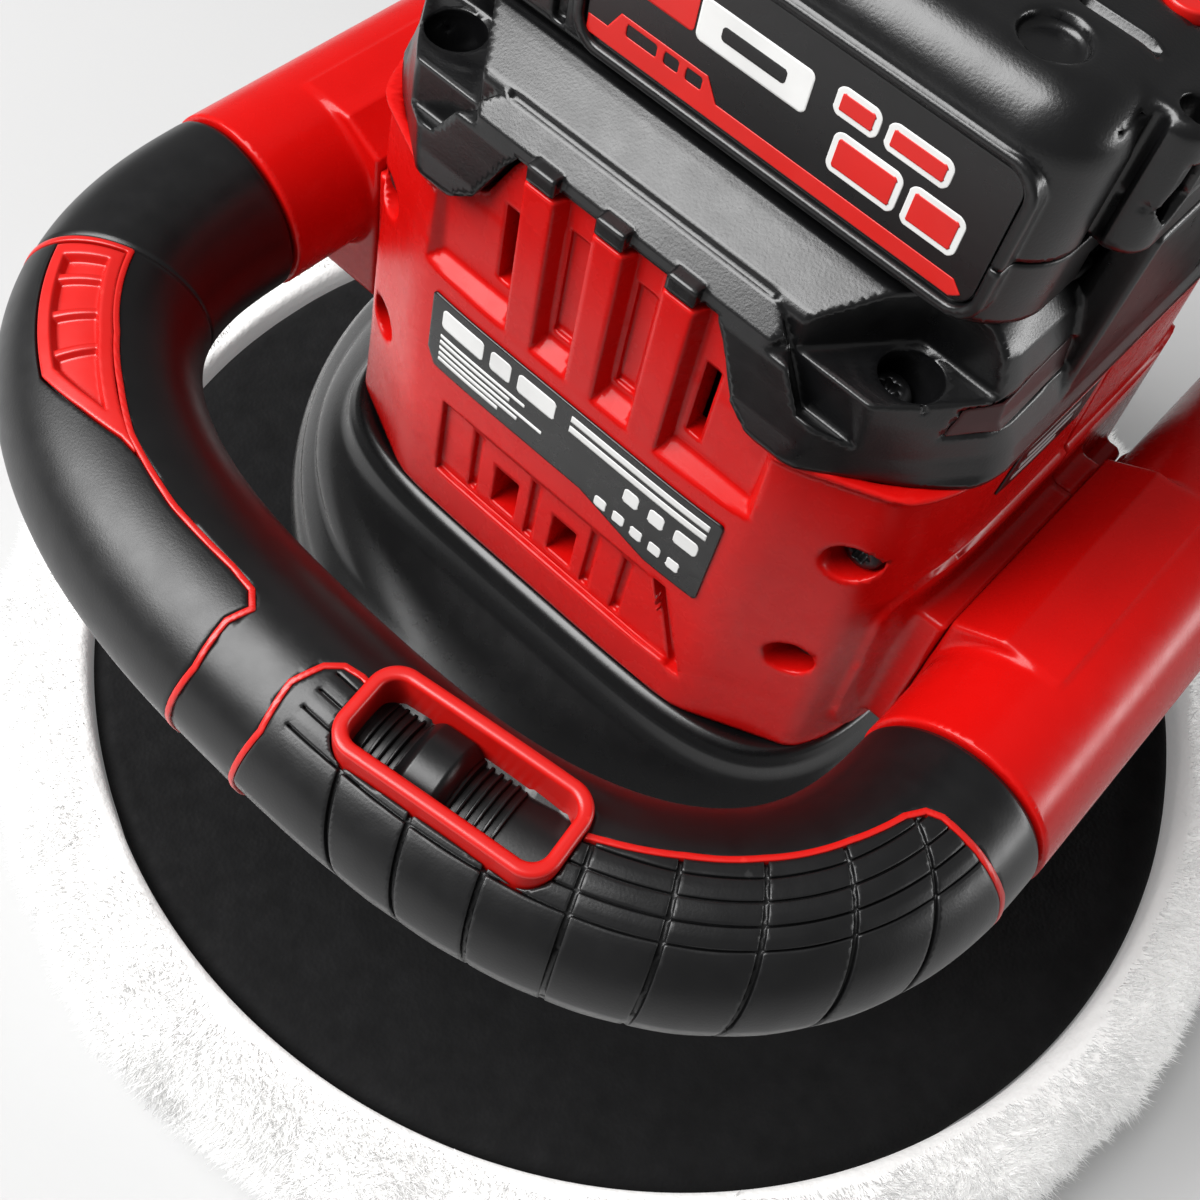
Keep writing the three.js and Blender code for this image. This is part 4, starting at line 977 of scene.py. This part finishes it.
def without_switch(field):
    """The field less the room that the switch needs, for pieces of the front grip."""
    def less(s, t, r):
        shape = np.broadcast(s, t, r).shape
        flat = [np.broadcast_to(v, shape).ravel() for v in (s, t, r)]
        world = on_grip(1)(np.stack(flat, 1))
        u, v = switch_frame(world[:, 0], world[:, 1])
        well = rectangle(u, v, -17.7, 17.7, -7.9, 7.9, 4.6)
        well = np.where(world[:, 2] > TUBE_Z, well, 50.0).reshape(shape)
        return cut(field(s, t, r), well, 0.1)
    return less


SOFT_R = spacing((13.0, 16.1, 0.32))
for prefix, turn in (("front", 1), ("rear", -1)):
    holds_switch = turn == 1
    around_switch = without_switch if holds_switch else (lambda field: field)
    add_piece(f"{prefix}_grip_sleeve", *grip_core(turn, holds_switch), GRIP_BLACK, "tool",
              replaces=[f"{prefix}_grip_core"], slot="black_plastic")
    net_piece(f"{prefix}_grip_tread_pad", around_switch(tread_field),
              (spacing((8, 108, 0.36)), spacing((-16.6, 28.5, 0.36)), SOFT_R), RUBBER, "tool", on_grip(turn),
              replaces=[f"{prefix}_grip_tread"], slot="soft_rubber")
    net_piece(f"{prefix}_grip_palm_cover", palm_field,
              (spacing((116, 190, 0.45)), spacing((-16.6, 29.5, 0.45)), SOFT_R), RUBBER, "tool", on_grip(turn),
              replaces=[f"{prefix}_grip_palm_pad"], slot="soft_rubber")
    net_piece(f"{prefix}_grip_window", insert_field,
              (spacing((145.5, 189, 0.3)), spacing((15, 29, 0.3)), SOFT_R), BRIGHT_RED, "tool", on_grip(turn),
              replaces=[f"{prefix}_grip_insert"], slot="red_plastic")
    net_piece(f"{prefix}_grip_outline", around_switch(outline_field),
              (spacing((7.8, 190, 0.3)), spacing((-16, 29.5, 0.3)), SOFT_R), BRIGHT_RED, "tool", on_grip(turn),
              slot="red_plastic")


# ---- slide switch ----
def bezel_field(u, v, z):
    ring = cut(rectangle(u, v, -17.5, 17.5, -7.7, 7.7, 4.6), rectangle(u, v, -15.4, 15.4, -5.6, 5.6, 2.7))
    return both(ring, slab(z, 151.8, 160.4 - 0.0009 * u * u), 0.75)


def deck_field(u, v, z):
    deck = block(u, v, z, -16.5, 16.5, -6.8, 6.8, 149.6, 151.5, 0.15, 4)
    boss = both(both(disc(u, v, 12.3, -0.3, 2.5), -disc(u, v, 12.3, -0.3, 1.1)), slab(z, 151, 151.9), 0.3)
    ribs = np.abs((u - 9.2) % 3.1 - 1.55) - 0.35
    ribs = both(both(ribs, rectangle(u, v, 8.6, 16, -4.6, -3.2)), slab(z, 151, 151.8))
    body = block(u, v, z, -12, 12, -4.5, 4.5, 139, 150, 0.5)
    return np.minimum(np.minimum(either(deck, boss, 0.2), ribs), body)


SLIDER = (-15.0, 8.5)
SLIDER_BOTTOM = 152.1
RIDGE_PITCH = 1.42


def slider_field(u, v, z):
    plan = rectangle(u, v, *SLIDER, -5.35, 5.35, 2.2)
    arch = 1.9 * (np.abs(v) / 5.4) ** 2.2
    middle = sum(SLIDER) / 2 - 0.6
    away = np.abs(u - middle)
    saddle = 158.3 - 0.9 * np.maximum(away - 2.2, 0) ** 1.5
    ridge = 154.1 + 0.95 * np.clip(1.6 * np.cos((u - middle) * 2 * math.pi / RIDGE_PITCH), -1, 1)
    top = np.where(away < 4.1, np.maximum(saddle, ridge + 1.2),
                   ridge + 0.9 * np.clip((6 - away) / 3, 0, 1))
    return both(plan, np.maximum((z - top + arch) * 0.72, SLIDER_BOTTOM - z), 0.25)


net_piece("switch_frame", bezel_field,
          (spacing((-18.3, 18.3, 0.3)), spacing((-8.5, 8.5, 0.3)), spacing((151.2, 161.2, 0.3))),
          BRIGHT_RED, "tool", at_switch, replaces=["switch_bezel"], slot="red_plastic")
net_piece("switch_deck", deck_field,
          (spacing((-17.2, 17.2, 0.3)), spacing((-7.5, 7.5, 0.3)), spacing((138.4, 149, 0.8), (149, 153.2, 0.25))),
          GRIP_BLACK, "tool", at_switch, replaces=["switch_block"], slot="black_plastic")
net_piece("switch_thumb_slider", slider_field,
          (spacing((-15.8, 9.3, 0.18)), spacing((-6, 6, 0.25)), spacing((151.5, 159.4, 0.22))),
          GRIP_BLACK, "switch", at_switch, replaces=["switch_slider"], slot="black_plastic")


# ---- battery ----
LABEL_FACE = 41.5      # |y| of the tray that the label lies in


def battery_plan(x, y):
    return rectangle(x, y, -60, 48, -42, 42, 10)


def label_hollow(x, z):
    return rectangle(x, z, -19.2, 42.6, 210.6, 231.6, 3.2)


def front_relief(shell, x, y, z):
    """The front's raised rim, the tray inside it and the dark slot beside it."""
    rim = cut(rectangle(x, z, -20.9, 44.2, 208.9, 233.2, 4.6), label_hollow(x, z))
    rim = both(rim, slab(y, -42.75, -38), 0.55)
    shell = either(shell, both(rim, slab(z, 207.4, 233.4)), 0.3)
    shell = cut(shell, both(label_hollow(x, z), y + LABEL_FACE, 0.1), 0.2)
    return cut(shell, both(rectangle(x, z, -24.4, -22.2, 209.5, 231, 0.8), y + 40.6, 0.2), 0.3)


def lower_case_field(x, y, z):
    shell = both(battery_plan(x, y), slab(z, 207.3, 219), 0.3)
    shell = cut(shell, both(both(-battery_plan(x, y) - 1.3, z - 208.9, 0.2), 206 - z), 0.2)
    shell = front_relief(shell, x, y, z)
    # room for the rail and its flange, the terminal block, the cells and the contacts
    for room in ((-70, 60, -20.6, 20.6, 206, 211), (-70, 60, -24.6, 24.6, 209.6, 213.5),
                 (8, 60, -16.2, 16.2, 206, 218.3), (-48, 6, -34, 34, 215.4, 220),
                 (7.5, 12.5, -12.4, 12.4, 215, 220)):
        shell = cut(shell, block(x, y, z, *room))
    return both(shell, z - 218.95, 0.25)


def upper_case_field(x, y, z):
    plan = battery_plan(x, y)
    shell = both(plan, slab(z, 212, 240), 7.5)
    block_end = both(rectangle(x, y, 38, 54, -30, 30, 4.5), slab(z, 218.6, 238.4), 2.2)
    shell = either(shell, block_end, 1.0)
    waist = both(rectangle(x, np.abs(y), 47.2, 49.2, 29.2, 31.6, 0.6), slab(z, 210, 241))
    shell = cut(shell, waist, 0.5)
    shell = front_relief(shell, x, y, z)
    shell = cut(shell, block(x, y, z, -49.5, 46, -34, 34, 205, 236.8))
    shell = cut(shell, block(x, y, z, -62, -49, -14.4, 14.4, 221.6, 232.4, 0), 0.4)
    shell = cut(shell, both(disc(x, y, 41, -13, 3.9), 235.6 - z), 0.35)
    shell = cut(shell, both(disc(x, y, 34.5, -31.5, 4.2), 238.2 - z, 1.0), 0.8)
    shell = cut(shell, both(rectangle(x, y, 33, 43.5, -24.6, -23.2, 0.6), 238.9 - z, 0.2), 0.3)
    shell = cut(shell, both(disc(x, np.abs(y), 50.6, 26, 2.3), 222 - z), 0.3)
    drop = polygon(np.abs(y), z, [(24.4, 233), (27.6, 233), (28.2, 226), (26, 223.4), (23.8, 226)])
    shell = cut(shell, both(drop, 51.6 - x, 0.3), 0.5)
    seam_line = both(both(slab(z, 226.5, 227), -shell - 0.45), both(48.3 - x, np.abs(y) - 29))
    shell = cut(shell, seam_line, 0.1)
    for x_line in (-38, -32, -26, -20, -14, -8):
        ridge = both(rectangle(x, y, x_line, x_line + 2.4, -20, 20, 1.2), 239.3 - z)
        shell = cut(shell, ridge, 0.3)
    return both(shell, 219.3 - z, 0.25)


net_piece("battery_base", lower_case_field,
          (spacing((-61, 49, 0.68)), spacing((-43.6, -38, 0.35), (-38, 43, 0.72)), spacing((206.5, 219.8, 0.5))),
          BLACK, "battery", replaces=["battery_lower_case"], slot="black_plastic")
net_piece("battery_shell", upper_case_field,
          (spacing((-61, 55.2, 0.62)), spacing((-43.6, -36, 0.36), (-36, 43, 0.7)), spacing((218.6, 241, 0.55))),
          BLACK, "battery", replaces=["battery_upper_case"], slot="black_plastic")


def on_label(p):
    """(x, z, height) onto the battery's label."""
    return np.stack([p[:, 0], -(LABEL_FACE + p[:, 2]), p[:, 1]], 1)


inlay("battery_label_film", lambda u, v: label_hollow(u, v) + 0.25, (-19.5, 43), (210, 232), (0.05, 0.45),
      on_label, LABEL, "battery", replaces=["battery_label"], slot="gloss_black")


def stripe_region(u, v):
    band = polygon(u, v, [(-18.6, 211.3), (39.6, 211.3), (41.0, 212.4), (39.4, 213.9), (2.6, 213.9), (0.6, 216.9),
                          (-13.6, 216.9), (-15.4, 213.9), (-18.6, 213.9)])
    slots = bars(u, v, *[(left, right, 214.3, 216.1) for left, right in
                         ((-12.4, -7.4), (-6.2, -3.8), (-2.6, 0.0))], r=0.4)
    return cut(band, slots)


def label_bar(*row, r):
    return lambda u, v: bars(u, v, row, r=r)


def blocks_region(grow):
    """The four plain blocks of the label, grown by so many mm."""
    def region(u, v):
        return bars(u, v, (19.5, 28.6, 216.6, 221.4), (30.6, 37.6, 216.6, 221.4), (18.0, 23.4, 224.0, 227.0),
                    (25.4, 33.6, 224.0, 227.0), r=0.8) - grow
    return region


for name, region, ranges, depth, finish in (
        ("label_stripe", stripe_region, ((-19, 42), (211, 217.4)), (0.43, 0.55), RED_PRINT),
        ("label_capacity", label_bar(-2.6, 14.4, 220.6, 226.6, r=1.0), ((-3, 15), (220, 227)), (0.43, 0.54),
         WHITE_PRINT),
        ("label_rating", label_bar(-12.6, -2.9, 221.0, 226.2, r=0.8), ((-13, -2.6), (220.6, 226.6)),
         (0.43, 0.54), RED_PRINT),
        ("label_window", label_bar(1.0, 10.8, 222.6, 224.6, r=0.6), ((0, 12.4), (221.4, 226)), (0.52, 0.60),
         LABEL),
        ("label_blocks_rim", blocks_region(0.55), ((11, 42), (215.6, 228.6)), (0.43, 0.52), WHITE_PRINT),
        ("label_blocks", blocks_region(-0.25), ((12, 41), (216, 228)), (0.50, 0.60), RED_PRINT)):
    inlay(name, region, *ranges, depth, on_label, finish, "battery", step=0.2, edge=0.02)


# ---- buttons ----
def release_field(x, y, z):
    body = both(rectangle(y, z, -13.9, 13.9, 222, 232, 2.2), slab(x, -64, -54.6), 0.8)
    for line in range(-4, 5):
        groove = rectangle(y, z, line * 2.4 - 0.5, line * 2.4 + 0.5, 223.6, 230.4, 0.4)
        body = cut(body, both(groove, x + 63.4), 0.2)
    return body


net_piece("release_latch_button", release_field,
          (spacing((-64.8, -54, 0.35)), spacing((-14.8, 14.8, 0.35)), spacing((221.2, 232.8, 0.35))),
          BRIGHT_RED, "battery_release", replaces=["release_button"], slot="red_plastic")
CHARGE_BUTTON = fillet([(0, 238.6), (3.45, 238.6), (3.45, 240.6), (2.2, 240.5), (0, 240.25)], 0.5)
add_piece("charge_check_button", *turned(CHARGE_BUTTON, 64, (41, -13)), BRIGHT_RED, "charge_check",
          replaces=["charge_button"], slot="red_plastic")

# ---- backing plate, foam pad and wool bonnet, round the orbiting axis ----
PAD_AXIS = (0.0, -3.0)


def backing_plate():
    profile = fillet([(9.5, 38.3), (80, 38.3), (80, 41.3), (66, 42.2), (62, 44.4), (34, 45.2), (22, 47.0), (18, 47.3),
                      (5.3, 47.3), (5.3, 42.3), (9.5, 42.3), (9.5, 38.35)], 0.6, 4)
    return ring_solid(profile[:-1], 160, PAD_AXIS)


add_piece("backing_plate_moulding", *backing_plate(), GRIP_BLACK, "pad", replaces=["backing_plate"],
          slot="black_plastic")


def foam_disc():
    profile = fillet([(0, 8.3), (120, 8.3), (125.2, 12.5), (125.2, 35.2), (122.6, 38), (0, 38)], 4.5, 8)
    profile = subdivided(profile, 2.6)
    points, faces = turned(profile, 300, PAD_AXIS)
    radius = np.hypot(points[:, 0] - PAD_AXIS[0], points[:, 1] - PAD_AXIS[1])
    lift = 0.22 * noise(points, 16.0, 3) + 0.10 * noise(points, 4.0, 5)
    shown = np.clip((radius - 82) / 4, 0, 1) * (points[:, 2] > 30)
    points[:, 2] += np.where(points[:, 2] > 30, (lift - 0.25) * shown, 0)
    return points, faces


foam = add_piece("foam_pad_disc", *foam_disc(), FOAM, "pad", replaces=["foam_pad"], slot="foam")

WOOL_TUBE = 132            # radius of the circle that the wool's edge is rolled round
PILE_COUNT = 46000         # locks of wool in each of the three pile pieces
WOOL_PROFILE = [(0, 0.4), (122, 0.4), (133, 1.6), (140.5, 7), (145, 15), (146.5, 23), (144.5, 31), (139.5, 37.5),
                (133, 41.2), (128, 41.6), (125.6, 39.6), (125.55, 30), (125.55, 9.2), (122, 8.05), (0, 8.05)]


def wool_surface():
    fine = subdivided(fillet(WOOL_PROFILE, 6.0, 6), 1.7)
    flat = fine[:, 0] < 118
    profile = np.concatenate([fine[:1], fine[~flat], fine[-1:]])
    points, faces = turned(profile, 620, PAD_AXIS)
    out = points - np.array([*PAD_AXIS, 22.0])
    radius = np.hypot(out[:, 0], out[:, 1])
    ring_centre = np.stack([out[:, 0] / np.maximum(radius, 1) * WOOL_TUBE,
                            out[:, 1] / np.maximum(radius, 1) * WOOL_TUBE, 0 * radius], 1)
    away = out - ring_centre
    away /= np.maximum(np.linalg.norm(away, axis=1), 1)[:, None]
    shown = np.clip((radius - 126) / 5, 0, 1) * np.clip((points[:, 2] - 0.5) / 5, 0, 1)
    lumps = 1.6 * noise(points, 24.0, 11) + 1.1 * noise(points, 9.0, 12)
    lumps = lumps + 0.9 * np.abs(noise(points, 3.6, 13)) + 0.5 * noise(points, 1.7, 14)
    points = points + away * (shown * (lumps - 0.8))[:, None]
    points[:, 2] = np.maximum(points[:, 2], 0.3)
    return points, faces


wool_points, wool_faces = wool_surface()
fleece = add_piece("bonnet_fleece", wool_points, wool_faces, WOOL, "pad", replaces=["bonnet"], slot="wool")


def wool_pile(seed):
    """Closed four-faced locks of wool, leaning this way and that all over the outside of the fleece."""
    draw = np.random.default_rng(seed)
    quads = wool_faces[0]
    corners = wool_points[quads]
    centre = corners.mean(1)
    normal = np.cross(corners[:, 2] - corners[:, 0], corners[:, 3] - corners[:, 1])
    area = np.linalg.norm(normal, axis=1) / 2
    normal /= np.maximum(area * 2, 1e-9)[:, None]
    radius = np.hypot(centre[:, 0] - PAD_AXIS[0], centre[:, 1] - PAD_AXIS[1])
    chance = area * ((radius > 127) & (centre[:, 2] > 1.0))
    count = int(PILE_COUNT / COARSE ** 2)
    chosen = draw.choice(len(quads), count, p=chance / chance.sum())
    share = draw.random((count, 2))
    c = corners[chosen]
    low = c[:, 0] + (c[:, 1] - c[:, 0]) * share[:, :1]
    high = c[:, 3] + (c[:, 2] - c[:, 3]) * share[:, :1]
    root = low + (high - low) * share[:, 1:]
    n = normal[chosen]
    sideways = np.cross(n, draw.normal(size=(count, 3)))
    sideways /= np.linalg.norm(sideways, axis=1)[:, None]
    swirl = np.stack([noise(root, 13.0, 31), noise(root, 13.0, 32), noise(root, 13.0, 33)], 1)
    outward = root - np.array([*PAD_AXIS, 0])
    reach = np.hypot(outward[:, 0], outward[:, 1])[:, None]
    outward[:, 2] = 0
    edge = np.clip((136 - reach) / 9, 0, 1)
    lean = sideways * draw.uniform(0.2, 1.3, (count, 1)) + swirl * 1.2 + outward / reach * edge * 2.2
    direction = n + lean
    direction /= np.linalg.norm(direction, axis=1)[:, None]
    length = draw.uniform(1.8, 4.8, (count, 1)) * (1 + 0.35 * noise(root, 8.0, 34)[:, None])
    length = length * (1 - 0.4 * edge)
    tip = root + direction * length
    tip[:, 2] = np.maximum(tip[:, 2], 0.3)
    across = np.cross(n, sideways)
    width = draw.uniform(0.13, 0.28, (count, 1))
    base = [root - n * 0.4 + width * (math.cos(k) * sideways + math.sin(k) * across)
            for k in (0, 2 * math.pi / 3, 4 * math.pi / 3)]
    points = np.stack([*base, tip], 1).reshape(-1, 3)
    start = np.arange(count)[:, None] * 4
    faces = np.concatenate([start + np.array(f) for f in ((0, 1, 3), (1, 2, 3), (2, 0, 3), (0, 2, 1))])
    return points, facing_out(points, faces)


for number in (1, 2, 3):
    add_piece(f"bonnet_pile_{number}", *wool_pile(20 + number), PILE, "pad", slot="wool")


# ---- floor and lights ----
FLOOR_REACH = 6.0          # metres
WORLD_STRENGTH = 0.22
LIT = (0.0, -0.02, 0.15)   # metres, the point that the lights face


def floor():
    mesh = bpy.data.meshes.new("floor")
    mesh.from_pydata([(x * FLOOR_REACH, y * FLOOR_REACH, 0) for x, y in ((-1, -1), (1, -1), (1, 1), (-1, 1))],
                     [], [(0, 1, 2, 3)])
    mesh.materials.append(look("pale_floor", (0.46, 0.46, 0.46), 0.8, grain=2.0, grain_height=0.02,
                               mottle=0.01, mottle_size=300))
    piece = bpy.data.objects.new("floor", mesh)
    bpy.context.scene.collection.objects.link(piece)


def area_light(name, azimuth, elevation, distance, size, power):
    data = bpy.data.lights.new(name, "AREA")
    data.shape = "RECTANGLE"
    data.size, data.size_y = size
    data.energy = power
    lamp = bpy.data.objects.new(name, data)
    a, e = math.radians(azimuth), math.radians(elevation)
    back = Vector((math.sin(a) * math.cos(e), -math.cos(a) * math.cos(e), math.sin(e)))
    lamp.location = Vector(LIT) + back * distance
    lamp.rotation_euler = (-back).to_track_quat("-Z", "Y").to_euler()
    bpy.context.scene.collection.objects.link(lamp)


def studio():
    floor()
    world = bpy.data.worlds.new("studio")
    world.use_nodes = True
    background = world.node_tree.nodes["Background"]
    background.inputs["Color"].default_value = (1.0, 1.0, 1.0, 1)
    background.inputs["Strength"].default_value = WORLD_STRENGTH
    bpy.context.scene.world = world
    bpy.context.scene.view_settings.view_transform = "Standard"
    area_light("front_softbox", -40, 50, 1.2, (0.75, 1.15), 36)
    area_light("right_strip", 124, 8, 1.2, (0.8, 0.14), 6)


studio()
